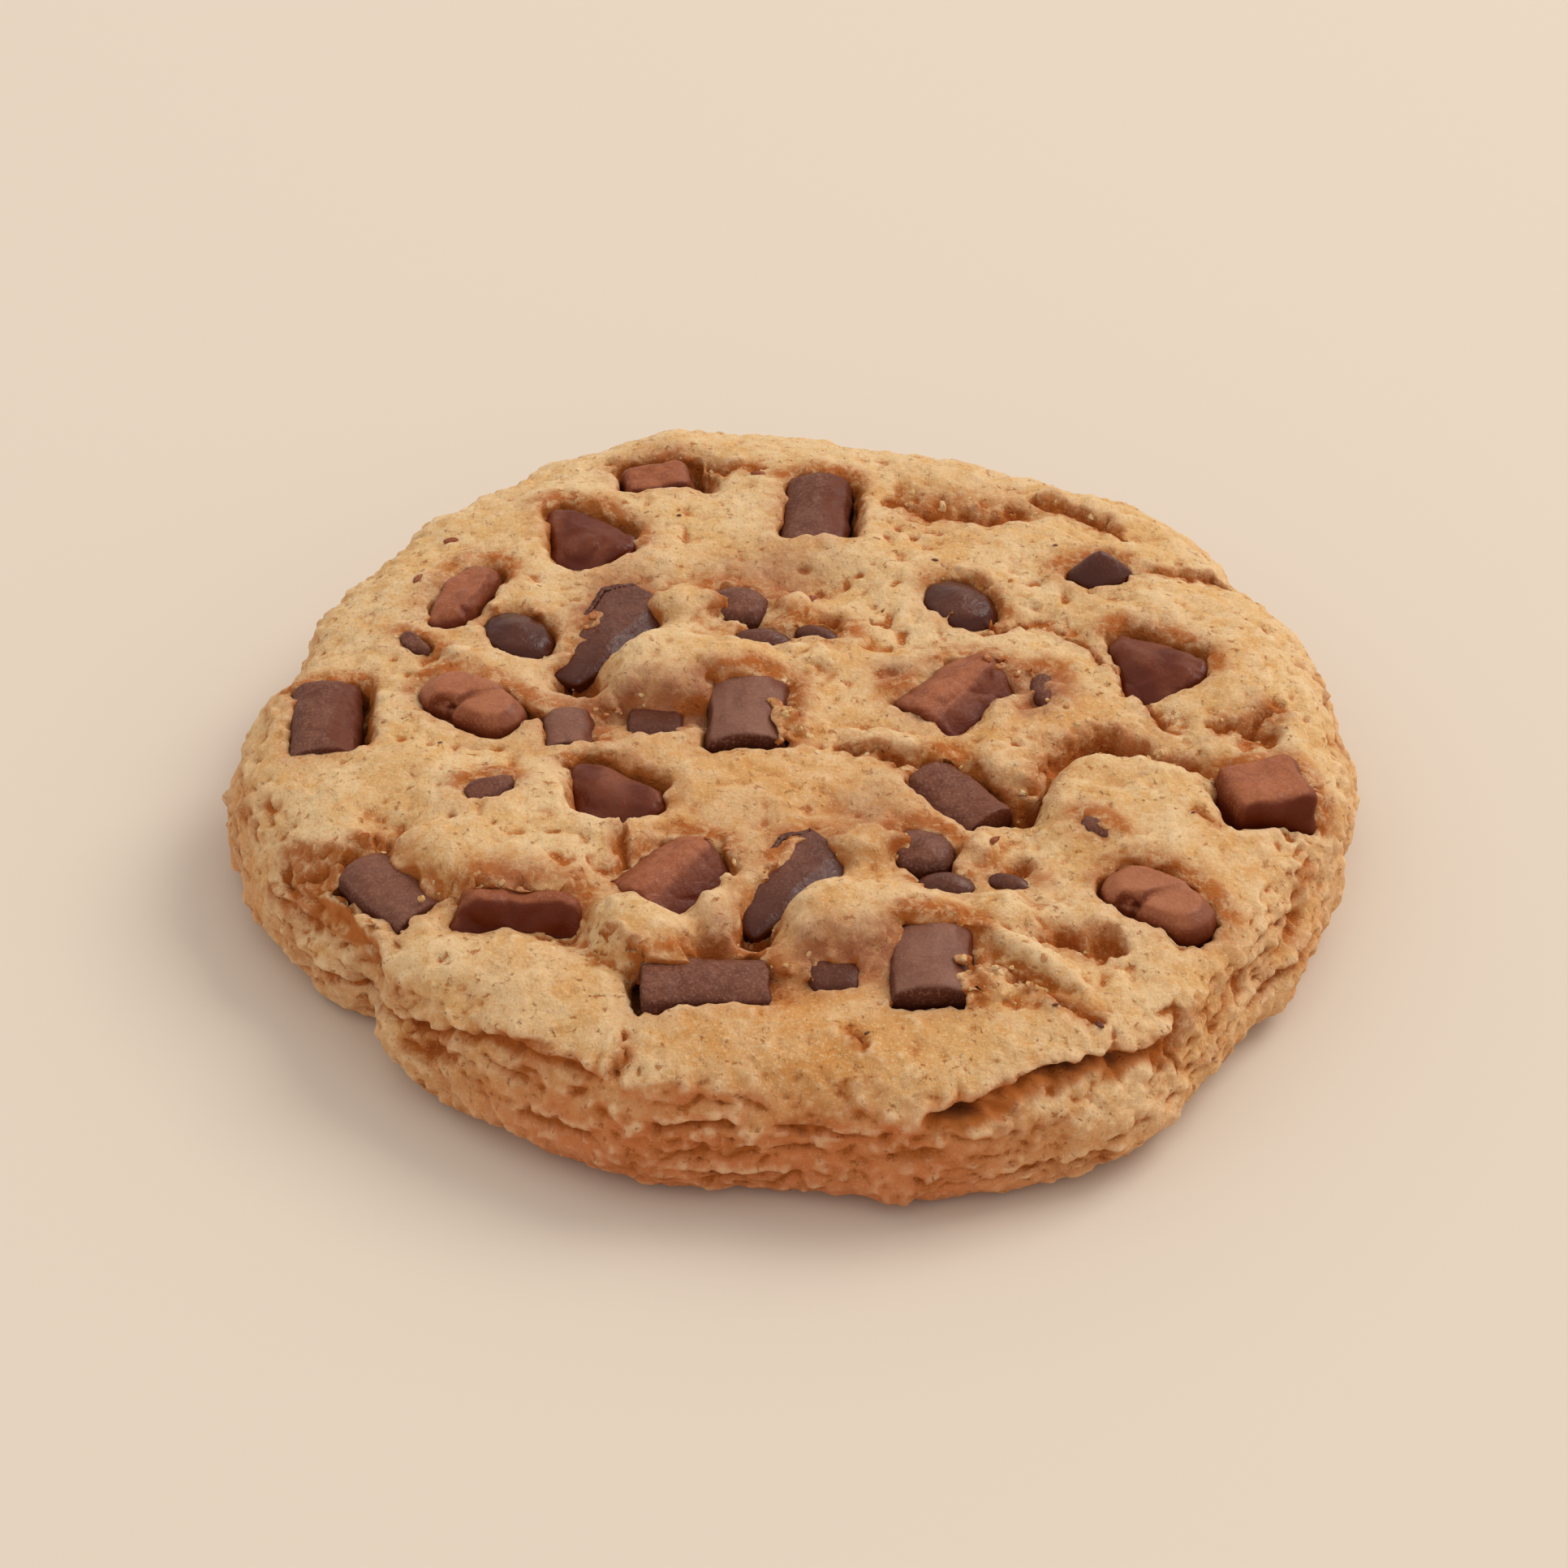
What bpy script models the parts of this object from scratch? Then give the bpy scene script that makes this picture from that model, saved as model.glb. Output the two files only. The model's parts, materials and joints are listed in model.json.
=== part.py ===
"""A thick, round chocolate chunk cookie: one baked dough body with dark and milk chocolate set in its top.

The origin is the middle of the flat base, +Z is up, and -Y is the front. Lists are in mm and degrees.
"""

import math

import bmesh
import bpy
from mathutils import Matrix, Vector, noise

MM = 0.001

# The dough body.
RADIUS = 44.0
DOME_HEIGHT = 13.2
BASE_RADIUS = 41.2
RIM_STEP = 15.0
# Radius of the rim every RIM_STEP degrees, from +X towards +Y.
RIM_RADII = (
    44.6, 45.0, 43.9, 44.2, 42.8, 42.4, 43.6, 45.7, 44.9, 43.5, 42.8, 42.2,
    45.0, 44.0, 42.3, 42.7, 43.7, 44.2, 44.0, 46.3, 47.6, 44.8, 44.3, 44.7,
)
# Half of the cross-section, from the middle of the dome over the shoulder to the foot: radius, height.
PROFILE = (
    (0.0, DOME_HEIGHT), (14.0, 13.15), (25.0, 13.0), (32.0, 12.85), (37.0, 12.5), (40.0, 11.8),
    (41.9, 10.6), (43.0, 8.8), (43.6, 6.8), (RADIUS, 4.8), (43.7, 2.8), (42.7, 1.1), (BASE_RADIUS, 0.0),
)
GRID_CELLS = 60
PROFILE_SAMPLES = 200

# Lumps and hollows of the top: x, y, half length, half width behind, half width in front, yaw, height.
LUMPS = (
    (-7.8, 5.6, 8.6, 4.0, 3.7, -8, 2.1),
    (6.0, -25.6, 9.6, 4.0, 3.9, -12, 2.1),
    (-11.5, 0.2, 9.5, 3.0, 2.4, 0, -1.7),
    (-0.6, -32.2, 8.6, 2.6, 2.2, 0, -1.5),
    (-8.4, 14.8, 4.6, 1.9, 1.7, 4, 1.7),
    (5.8, -16.9, 4.6, 1.9, 1.7, 4, 1.7),
    (2.5, 17.5, 5.5, 2.2, 3.0, -4, -0.9),
    (15.5, -15.8, 3.6, 2.0, 3.0, 0, -0.8),
    (-11.6, -26.6, 5.4, 2.8, 2.8, -38, 2.0),
    (-5.9, -24.9, 2.3, 2.3, 2.3, 0, 1.7),
    (-21.0, -14.5, 9.4, 7.5, 4.6, -6, 1.4),
    (27.5, -13.0, 9.0, 5.6, 8.0, -10, 1.2),
    (-31.5, -8.5, 7.5, 5.0, 6.0, 20, 0.7),
    (5.0, 21.0, 10.0, 5.0, 5.0, -10, 0.5),
    (-3.0, -9.0, 9.0, 5.0, 5.0, 10, 0.6),
    (15.0, 22.5, 6.0, 4.0, 4.0, 0, 0.5),
    (36.0, 8.0, 4.0, 9.0, 9.0, 0, 0.6),
    (-35.0, -24.0, 5.0, 2.6, 3.0, -52, 1.3),
)
LUMP_PLATEAU = 0.55
# Cracks and furrows in the top: points along each, half width, depth.
FURROWS = (
    (((16.5, -12.6), (18.7, -11.2), (20.3, -6.6), (23.5, -3.2), (27.0, -5.2), (33.0, -6.6)), 1.3, 2.2),
    (((17.5, 12.2), (20.6, 12.3), (23.2, 10.2), (25.8, 6.0), (29.0, 0.0), (30.4, -2.6)), 1.2, 1.1),
    (((-40.2, -16.0), (-37.0, -17.1), (-34.0, -17.0), (-31.0, -16.6), (-32.2, -12.8)), 1.3, 1.3),
    (((8.2, 30.8), (10.6, 28.4), (13.8, 28.2), (17.2, 27.6), (18.6, 29.0)), 1.6, 1.7),
    (((21.0, 29.4), (24.8, 26.9), (28.4, 25.6)), 1.2, 1.0),
    (((28.2, 20.0), (31.0, 21.0), (34.4, 19.8)), 1.2, 0.8),
    (((4.2, -3.0), (8.4, -5.4), (12.0, -5.4)), 1.2, 1.3),
    (((19.6, -27.6), (22.6, -28.6), (25.2, -28.4)), 1.5, 1.1),
    (((-15.0, 15.6), (-12.4, 17.2), (-8.6, 17.4)), 1.3, 1.4),
    (((-2.0, 17.8), (2.4, 17.4)), 1.5, 1.0),
    (((-25.6, -24.4), (-21.4, -24.8), (-17.4, -26.4), (-13.8, -29.4), (-10.8, -31.4)), 1.4, 1.5),
)
# Deep pits between lumps: x, y, radius, depth.
PITS = (
    (-17.6, 5.6, 2.0, 2.6),
    (-3.0, -25.9, 1.8, 2.6),
    (18.4, -11.6, 1.9, 1.6),
    (-6.4, -28.0, 2.0, 2.2),
    (-7.0, 31.4, 1.7, 1.2),
    (36.0, -3.0, 2.0, 1.4),
    (31.5, -33.6, 1.9, 1.3),
)
# Folds of the side, each a ledge over a furrow: start and end angle, start and end height, half width,
# depth.
FOLDS = (
    (202, 234, 10.0, 7.6, 1.2, 1.3),
    (234, 258, 8.8, 9.6, 1.1, 0.5),
    (280, 312, 10.8, 9.2, 1.2, 1.7),
    (318, 346, 8.4, 7.0, 1.2, 0.6),
    (226, 296, 5.6, 5.2, 1.0, 0.4),
    (20, 62, 7.4, 6.6, 1.2, 0.5),
    (82, 128, 6.0, 7.2, 1.2, 0.5),
    (146, 190, 7.2, 5.8, 1.2, 0.5),
)
FOLD_FADE = 7.0
# The ledge's share of the furrow's depth, and its height over the furrow in half widths.
LEDGE_SHARE = 0.4
LEDGE_RISE = 1.6
# Where the relief of the side hands over to that of the top, by the upward part of the normal.
TOP_FACING = (0.35, 0.9)
# The relief dies away over this height above the flat base.
FOOT_FADE = 2.0
# Short dents low on the side, where two lobes of the rim meet: angle, half width in degrees, depth.
RIM_DENTS = ((217.5, 3.6, 2.1), (323.0, 4.5, 0.7), (349.0, 3.0, 0.9), (31.0, 4.0, 0.6), (118.0, 4.0, 0.6))
DENT_FADE = (6.5, 10.5)
# Crags that cover the whole body: size along and across, height.
TOP_CRAG_SIZE = 6.5
TOP_CRAG_HEIGHT = 0.45
SIDE_CRAG_SIZE = 5.0
SIDE_CRAG_HEIGHT = 0.8
SIDE_CRAG_STRETCH = 2.2
CRAG_ROUGHNESS = 0.9
CRAG_LACUNARITY = 2.1
CRAG_OCTAVES = 3
# The dough swells a little round each piece of chocolate.
SWELL_REACH = 2.6
SWELL_HEIGHT = 0.45

# The pockets in the dough.
CLEARANCE = 0.35
OPEN_REACH = 7.0
# The gap beside a piece is narrower at the floor of its pocket and flares towards the mouth.
GAP_AT_FLOOR = 0.6
GAP_AT_MOUTH = 2.2

# Chocolate pieces: shape, x, y, length, width, thickness, yaw, pitch, roll, rise of the top over the
# dough's general surface, and the open gap left beside it in its pocket (x, y). A covered piece runs in
# under the dough.
OPEN, COVERED = True, False
CHOCOLATE = {
    "dark_rod_1": ("rod", -37.3, 0.6, 8.2, 5.4, 4.4, -88, 0, 5, 0.2, (0.6, 0.4), OPEN),
    "dark_rod_2": ("rod", 1.7, 28.4, 8.6, 5.4, 4.4, -94, 0, 5, 0.2, (0.6, 0.4), OPEN),
    "dark_rod_3": ("rod", -3.6, -0.5, 7.8, 6.7, 4.8, -90, 0, 0, 1.4, (0.0, -0.5), OPEN),
    "dark_rod_4": ("rod", 10.4, -31.0, 7.6, 6.5, 4.8, -91, 0, 0, 1.4, (0.0, -0.5), OPEN),
    "dark_rod_5": ("rod", 12.6, -10.0, 8.0, 5.2, 4.2, -52, 0, 8, 0.2, (0.5, 0.2), OPEN),
    "dark_rod_6": ("rod", -31.0, -20.0, 8.2, 5.0, 4.2, -52, 0, 8, -0.1, (0.4, 0.2), OPEN),
    "dark_rod_7": ("rod", -6.6, -31.8, 9.6, 5.8, 4.4, 4, 3, 0, 0.3, (-0.7, 0.0), OPEN),
    "dark_rod_8": ("rod", -17.8, -1.6, 4.6, 4.2, 3.6, -84, 0, 0, 0.3, (0.0, 0.2), OPEN),
    "dark_chip_1": ("chip", -22.3, 10.7, 7.0, 4.8, 4.4, -45, 0, 0, 0.5, (0.4, 0.5), OPEN),
    "dark_chip_2": ("chip", 13.4, 14.9, 7.2, 5.0, 4.4, -47, 0, 0, 0.5, (0.4, 0.5), OPEN),
    "dark_peak": ("peak", 25.0, 19.2, 6.6, 4.6, 4.8, 8, 0, 0, 2.3, (0.0, 0.3), OPEN),
    "dark_shard_1": ("shard", -14.9, 10.6, 12.6, 5.8, 5.0, 57, 0, 0, 0.9, (0.0, 0.0), OPEN),
    "dark_shard_2": ("shard", -0.5, -21.3, 12.0, 5.6, 5.0, 56, 0, 0, 0.9, (0.0, 0.0), OPEN),
    "dark_flake_1": ("chip", -4.4, 14.6, 5.8, 4.9, 3.6, -24, 0, 0, 1.1, (0.0, 0.3), OPEN),
    "dark_flake_2": ("chip", 9.9, -17.3, 5.8, 4.9, 3.6, -20, 0, 0, 1.1, (0.0, 0.3), OPEN),
    "dark_lens_1": ("lens", -2.4, 9.9, 5.4, 3.2, 2.8, -6, 0, 0, 0.9, (0.0, 0.3), OPEN),
    "dark_lens_2": ("lens", 1.9, 10.8, 4.6, 2.2, 2.4, -22, 0, 0, 0.6, (0.4, 0.3), OPEN),
    "dark_lens_3": ("lens", 11.6, -21.4, 5.2, 3.2, 2.8, -6, 0, 0, 0.9, (0.0, 0.3), OPEN),
    "dark_lens_4": ("lens", 16.4, -20.8, 4.2, 2.2, 2.4, -22, 0, 0, 0.6, (0.4, 0.3), OPEN),
    "dark_flake_3": ("rod", -10.9, -0.8, 3.8, 3.4, 2.6, 0, 0, 0, -0.6, (0.0, 0.0), OPEN),
    "dark_flake_4": ("rod", 3.2, -31.0, 3.6, 3.2, 2.6, 0, 0, 0, -0.5, (0.0, 0.0), OPEN),
    "dark_flake_5": ("flake", -23.6, -10.7, 4.8, 2.4, 2.4, 22, 0, 0, 0.8, (0.0, 0.0), OPEN),
    "dark_flake_6": ("flake", -30.4, 9.4, 3.8, 1.5, 2.2, -48, 0, 0, 0.3, (0.3, 0.4), OPEN),
    "dark_flake_7": ("flake", 19.8, 3.4, 4.6, 2.2, 2.6, -80, 0, 0, 0.4, (0.0, 0.0), OPEN),
    "dark_flake_8": ("flake", 23.2, -15.4, 3.2, 1.4, 2.2, -48, 0, 0, 0.9, (0.0, 0.0), OPEN),
    "milk_wedge_1": ("wedge", -17.1, 24.8, 9.6, 8.2, 4.8, -30, 0, 0, 0.1, (0.2, 0.5), OPEN),
    "milk_wedge_2": ("wedge", 28.9, 7.5, 9.8, 8.2, 4.8, -30, 0, 0, 0.1, (0.2, 0.5), OPEN),
    "milk_wedge_3": ("wedge", -14.3, -9.8, 9.8, 8.2, 4.8, -30, 0, 0, 0.2, (0.2, 0.5), OPEN),
    "milk_ridge_1": ("ridge", 13.2, 2.8, 9.4, 7.6, 5.2, 44, 0, 0, 1.6, (0.0, 0.0), OPEN),
    "milk_ridge_2": ("ridge", -9.1, -20.0, 9.0, 7.4, 5.2, 43, 0, 0, 1.5, (0.0, 0.0), OPEN),
    "milk_bar_1": ("bar", -25.3, 1.5, 9.6, 5.2, 4.4, -36, 0, 0, 1.2, (-0.4, -0.3), OPEN),
    "milk_bar_2": ("bar", 27.8, -22.5, 9.8, 5.3, 4.4, -36, 0, 0, 0.9, (-0.4, -0.3), OPEN),
    "milk_block": ("block", 36.8, -9.0, 7.2, 6.8, 4.8, 18, 3, 0, 1.3, (-0.2, -0.4), OPEN),
    "milk_slab_1": ("bar", -27.0, 16.3, 9.8, 4.2, 3.8, -115, 0, 10, 0.9, (0.3, 0.3), OPEN),
    "milk_slab_2": ("slab", -11.2, 33.2, 6.8, 4.6, 3.2, 12, 0, 8, 0.3, (0.6, 0.2), OPEN),
    "milk_slab_3": ("slab", -20.9, -21.9, 10.4, 4.8, 3.6, -3, 0, -14, 0.1, (0.0, -0.5), COVERED),
}
# The bevel is at most this share of a piece's width, on edges sharper than this angle.
BEVEL_WIDTH = 0.45
BEVEL_SHARE = 0.16
BEVEL_ANGLE = 30.0
# Faces of a piece that differ by less than this angle become one.
FLAT_ANGLE = 4.0
# A rounded piece ends in a small flat, this share of its width.
TIP_SHARE = 0.06

# Colours are linear.
COLOURS = {
    "dough": ((0.66, 0.38, 0.15), 0.75),
    "dark": ((0.055, 0.021, 0.015), 0.35),
    "milk": ((0.22, 0.082, 0.046), 0.4),
}


def smooth_step(low, high, value):
    share = min(1.0, max(0.0, (value - low) / (high - low)))
    return share * share * (3.0 - 2.0 * share)


def curve_value(before, start, end, after, share):
    """Catmull-Rom value between start and end."""
    slope = end - before
    bend = 2.0 * before - 5.0 * start + 4.0 * end - after
    twist = 3.0 * (start - end) + after - before
    return start + 0.5 * share * (slope + share * (bend + share * twist))


def rim_radius(angle):
    """Radius of the widest line of the side, at an angle in degrees."""
    place = (angle % 360.0) / RIM_STEP
    first = int(place)
    values = [RIM_RADII[(first + step) % len(RIM_RADII)] for step in (-1, 0, 1, 2)]
    return curve_value(*values, place - first)


def dent_depth(angle, height):
    total = 0.0
    for dent, half_width, depth in RIM_DENTS:
        away = abs((angle - dent + 180.0) % 360.0 - 180.0)
        total += depth * math.exp(-((away / half_width) ** 2))
    return total * (1.0 - smooth_step(*DENT_FADE, height))


def profile_table():
    """Points evenly spaced along the cross-section, each with the share of the surface's area inside it."""
    points = []
    for index in range(len(PROFILE) - 1):
        picked = [PROFILE[min(max(index + step, 0), len(PROFILE) - 1)] for step in (-1, 0, 1, 2)]
        for step in range(PROFILE_SAMPLES):
            share = step / PROFILE_SAMPLES
            points.append(tuple(curve_value(*(p[axis] for p in picked), share) for axis in (0, 1)))
    points.append(PROFILE[-1])
    area, table = 0.0, [(0.0, points[0])]
    for (r0, z0), (r1, z1) in zip(points, points[1:]):
        area += (r0 + r1) * math.hypot(r1 - r0, z1 - z0)
        table.append((area, (r1, z1)))
    return [(inside / area, point) for inside, point in table]


def profile_at(table, area_share):
    """Radius, height and outward normal of the cross-section at a share of the area inside it."""
    low, high = 0, len(table) - 1
    while high - low > 1:
        middle = (low + high) // 2
        if table[middle][0] < area_share:
            low = middle
        else:
            high = middle
    (a0, (r0, z0)), (a1, (r1, z1)) = table[low], table[high]
    share = (area_share - a0) / (a1 - a0) if a1 > a0 else 0.0
    along = Vector((r1 - r0, z1 - z0)).normalized()
    return r0 + share * (r1 - r0), z0 + share * (z1 - z0), (-along.y, along.x)


def disc_from_square(u, v):
    """Radius and angle on a unit disc for a point of the square from -1 to 1, keeping areas even."""
    if u == 0.0 and v == 0.0:
        return 0.0, 0.0
    if abs(u) > abs(v):
        return abs(u), math.pi / 4 * (v / u) + (math.pi if u < 0 else 0.0)
    return abs(v), math.pi / 2 - math.pi / 4 * (u / v) + (math.pi if v < 0 else 0.0)


def lump_height(x, y, lump):
    centre_x, centre_y, half_length, behind, front, yaw, height = lump
    turn = math.radians(yaw)
    along = (x - centre_x) * math.cos(turn) + (y - centre_y) * math.sin(turn)
    across = (y - centre_y) * math.cos(turn) - (x - centre_x) * math.sin(turn)
    reach = math.hypot(along / half_length, across / (behind if across > 0 else front))
    return height * (1.0 - smooth_step(LUMP_PLATEAU, 1.0, reach))


def distance_to_line(x, y, points):
    best = math.inf
    for (ax, ay), (bx, by) in zip(points, points[1:]):
        dx, dy = bx - ax, by - ay
        share = min(1.0, max(0.0, ((x - ax) * dx + (y - ay) * dy) / (dx * dx + dy * dy)))
        best = min(best, math.hypot(x - ax - share * dx, y - ay - share * dy))
    return best


def chocolate_swell(x, y):
    """How far the dough rises where it has closed round a piece of chocolate."""
    most = 0.0
    for _, centre_x, centre_y, length, width, *_, _gap, is_open in CHOCOLATE.values():
        reach = math.hypot(x - centre_x, y - centre_y) - (length + width) / 4.0
        if is_open:
            most = max(most, math.exp(-((max(reach, 0.0) / SWELL_REACH) ** 2)))
    return SWELL_HEIGHT * most


def top_relief(x, y):
    height = sum(lump_height(x, y, lump) for lump in LUMPS) + chocolate_swell(x, y)
    for points, half_width, depth in FURROWS:
        height -= depth * math.exp(-((distance_to_line(x, y, points) / half_width) ** 2))
    for pit_x, pit_y, radius, depth in PITS:
        height -= depth * math.exp(-((math.hypot(x - pit_x, y - pit_y) / radius) ** 2))
    crag = noise.fractal(Vector((x, y, 0.0)) / TOP_CRAG_SIZE, CRAG_ROUGHNESS, CRAG_LACUNARITY, CRAG_OCTAVES)
    return height + TOP_CRAG_HEIGHT * crag


def side_relief(x, y, z):
    angle = math.degrees(math.atan2(y, x)) % 360.0
    out = 0.0
    for start, end, start_height, end_height, half_width, depth in FOLDS:
        into = min(angle - start, end - angle)
        if into <= 0.0:
            continue
        line = start_height + (end_height - start_height) * (angle - start) / (end - start)
        above = (z - line) / half_width
        ledge = LEDGE_SHARE * math.exp(-((above - LEDGE_RISE) ** 2)) - math.exp(-(above**2))
        out += depth * ledge * smooth_step(0.0, FOLD_FADE, into)
    spot = Vector((x, y, z * SIDE_CRAG_STRETCH)) / SIDE_CRAG_SIZE
    return out + SIDE_CRAG_HEIGHT * noise.fractal(spot, CRAG_ROUGHNESS, CRAG_LACUNARITY, CRAG_OCTAVES)


def dough_point(u, v, table):
    """Where a corner of the grid lies on the cookie: the grid covers the top and the side."""
    share, angle = disc_from_square(u, v)
    radius, height, (out, up) = profile_at(table, share * share)
    radius *= (rim_radius(math.degrees(angle)) - dent_depth(math.degrees(angle), height)) / RADIUS
    x, y, z = radius * math.cos(angle), radius * math.sin(angle), height
    facing_up = smooth_step(*TOP_FACING, up)
    relief = facing_up * top_relief(x, y) + (1.0 - facing_up) * side_relief(x, y, z)
    relief *= smooth_step(0.0, FOOT_FADE, z)
    return Vector((x + relief * out * math.cos(angle), y + relief * out * math.sin(angle), z + relief * up))


def general_surface(x, y):
    """Height of the dough's top at a place, with its lumps, where chocolate is set."""
    reach = math.hypot(x, y) * RADIUS / rim_radius(math.degrees(math.atan2(y, x)))
    for (r0, z0), (r1, z1) in zip(PROFILE, PROFILE[1:]):
        if reach <= r1:
            return z0 + (z1 - z0) * (reach - r0) / (r1 - r0)
    return 0.0


def centre_on_origin(points):
    """Shifts the dough so that the middle of its box is on the Z axis."""
    lows = [min(p[axis] for p in points) for axis in (0, 1)]
    highs = [max(p[axis] for p in points) for axis in (0, 1)]
    shift = Vector((-(lows[0] + highs[0]) / 2, -(lows[1] + highs[1]) / 2, 0.0))
    for point in points:
        point += shift


def make_material(name):
    colour, roughness = COLOURS[name]
    material = bpy.data.materials.new(name)
    material.use_nodes = True
    shader = material.node_tree.nodes["Principled BSDF"]
    shader.inputs["Base Color"].default_value = (*colour, 1.0)
    shader.inputs["Roughness"].default_value = roughness
    return material


def object_from_bmesh(name, bm, collection):
    mesh = bpy.data.meshes.new(name)
    bm.to_mesh(mesh)
    bm.free()
    obj = bpy.data.objects.new(name, mesh)
    collection.objects.link(obj)
    return obj


def make_dough(collection, material):
    bm = bmesh.new()
    bmesh.ops.create_grid(bm, x_segments=GRID_CELLS, y_segments=GRID_CELLS, size=1.0)
    table = profile_table()
    points = [dough_point(vert.co.x, vert.co.y, table) for vert in bm.verts]
    centre_on_origin(points)
    for vert, point in zip(bm.verts, points):
        vert.co = point * MM
    foot = [edge for edge in bm.edges if edge.is_boundary]
    bmesh.ops.holes_fill(bm, edges=foot, sides=0)
    bmesh.ops.recalc_face_normals(bm, faces=bm.faces)
    dough = object_from_bmesh("dough", bm, collection)
    dough.data.materials.append(material)
    return dough


def box_corners(length, width, thickness, taper=1.0):
    """The eight corners of a block whose top is at height 0, narrower there by the taper."""
    return [
        (sx * length / 2 * share, sy * width / 2 * share, z)
        for z, share in ((0.0, taper), (-thickness, 1.0))
        for sx in (-1, 1)
        for sy in (-1, 1)
    ]


def scaled_points(shares, length, width, thickness):
    """Points given as shares of a piece's length, width and thickness."""
    return [(x * length, y * width, z * thickness) for x, y, z in shares]


def rod_points(length, width, thickness):
    """A short length of a thick rod lying on its side: a round back and two cut ends."""
    points = []
    for end in (-1, 1):
        for step in range(7):
            turn = math.pi * step / 6
            rise = math.sin(turn) ** 0.8
            points.append((end * length / 2, -width / 2 * math.cos(turn), -0.42 * thickness * (1 - rise)))
        points.append((end * length * 0.47, -width * 0.44, -thickness))
        points.append((end * length * 0.47, width * 0.44, -thickness))
    return points


def round_points(length, width, thickness, power):
    """A flattened drop: rings of points that draw in towards the top and the underside."""
    points = []
    for level in (0.0, 0.28, 0.62, 0.86, 1.0):
        share = (1.0 - abs(2.0 * level - 1.0) ** power) ** (1.0 / power)
        for step in range(10):
            turn = 2.0 * math.pi * step / 10
            reach = max(share, TIP_SHARE)
            x = length / 2 * reach * math.cos(turn)
            y = width / 2 * reach * math.sin(turn)
            points.append((x, y, -thickness * (1.0 - level)))
    return points


def bar_points(length, width, thickness):
    """A blunt bar with rounded ends and a crowned top."""
    points = []
    for level, share in ((0.0, 0.72), (-0.22, 0.96), (-0.55, 1.0), (-1.0, 0.84)):
        for step in range(12):
            turn = 2.0 * math.pi * step / 12
            cos, sin = math.cos(turn), math.sin(turn)
            x = math.copysign(abs(cos) ** 0.6, cos) * length / 2 * (0.9 + 0.1 * share)
            y = math.copysign(abs(sin) ** 0.75, sin) * width / 2
            points.append((x * share, y * share, level * thickness))
    return points


def wedge_points(length, width, thickness):
    """A broken lump: a small top at the back and two facets that slope down to a point in front."""
    top = ((-0.46, 0.24), (-0.40, 0.02), (0.10, -0.10), (0.48, 0.04), (0.40, 0.24), (-0.05, 0.36))
    points = [(x * length, y * width, 0.0) for x, y in top]
    points += [(-0.5 * length, 0.1 * width, -0.35 * thickness), (0.5 * length, 0.0, -0.4 * thickness)]
    points += [(x * length, y * width, -0.5 * thickness) for x, y in ((0.2, -0.5), (-0.06, -0.52))]
    points += [(x * 0.9 * length, y * width, -thickness) for x, y in ((-0.4, 0.3), (0.4, 0.3), (0.1, -0.4))]
    return points


def ridge_points(length, width, thickness):
    """A broken lump with a ridge along its back, one broad face behind and one steep face in front."""
    shares = (
        (-0.48, 0.02, -0.10), (0.46, 0.10, 0.0), (-0.50, 0.46, -0.42), (0.34, 0.50, -0.30),
        (-0.42, -0.46, -0.55), (0.40, -0.42, -0.50), (0.54, 0.04, -0.40),
        (-0.40, 0.36, -1.0), (0.42, 0.36, -1.0), (-0.36, -0.36, -1.0), (0.40, -0.34, -1.0),
    )
    return scaled_points(shares, length, width, thickness)


def shard_points(length, width, thickness):
    """A twisted splinter: a low narrow tail and a broad head that lifts to a crest."""
    shares = (
        (-0.50, -0.16, -0.50), (-0.48, 0.20, -0.46), (-0.20, -0.30, -0.34), (-0.16, 0.32, -0.22),
        (0.30, 0.40, 0.0), (0.50, 0.18, -0.06), (0.46, -0.46, -0.36), (0.10, -0.50, -0.40),
        (-0.36, 0.0, -1.0), (0.40, 0.20, -1.0), (0.36, -0.36, -1.0),
    )
    return scaled_points(shares, length, width, thickness)


def peak_points(length, width, thickness):
    """A small peaked chip: a pointed oval foot drawn up to a blunt tip."""
    tip = ((0.02, 0.10, 0.0), (-0.10, 0.02, -0.04), (0.12, -0.02, -0.08), (-0.22, 0.10, -0.20))
    points = scaled_points(tip, length, width, thickness)
    for step in range(8):
        turn = 2.0 * math.pi * step / 8
        reach = 0.5 if step % 4 == 0 else 0.42
        points.append((reach * length * math.cos(turn), reach * width * math.sin(turn), -0.55 * thickness))
        points.append((0.36 * length * math.cos(turn), 0.36 * width * math.sin(turn), -thickness))
    return points


def flake_points(length, width, thickness):
    """A small broken flake with a slanting top."""
    shares = (
        (-0.46, 0.20, -0.06), (-0.30, 0.48, -0.02), (0.44, 0.30, 0.0), (0.50, -0.10, -0.10),
        (0.10, -0.46, -0.20), (-0.42, -0.34, -0.26),
        (-0.40, 0.0, -1.0), (0.10, 0.34, -1.0), (0.36, -0.14, -1.0), (-0.05, -0.32, -1.0),
    )
    return scaled_points(shares, length, width, thickness)


SHAPES = {
    "rod": rod_points,
    "chip": lambda *size: round_points(*size, 2.2),
    "lens": lambda *size: round_points(*size, 1.6),
    "peak": peak_points,
    "shard": shard_points,
    "flake": flake_points,
    "wedge": wedge_points,
    "ridge": ridge_points,
    "bar": bar_points,
    "block": lambda *size: box_corners(*size, taper=0.9),
    "slab": lambda *size: box_corners(*size, taper=0.78),
}
ROUND_SHAPES = ("rod", "chip", "lens", "bar")


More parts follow.
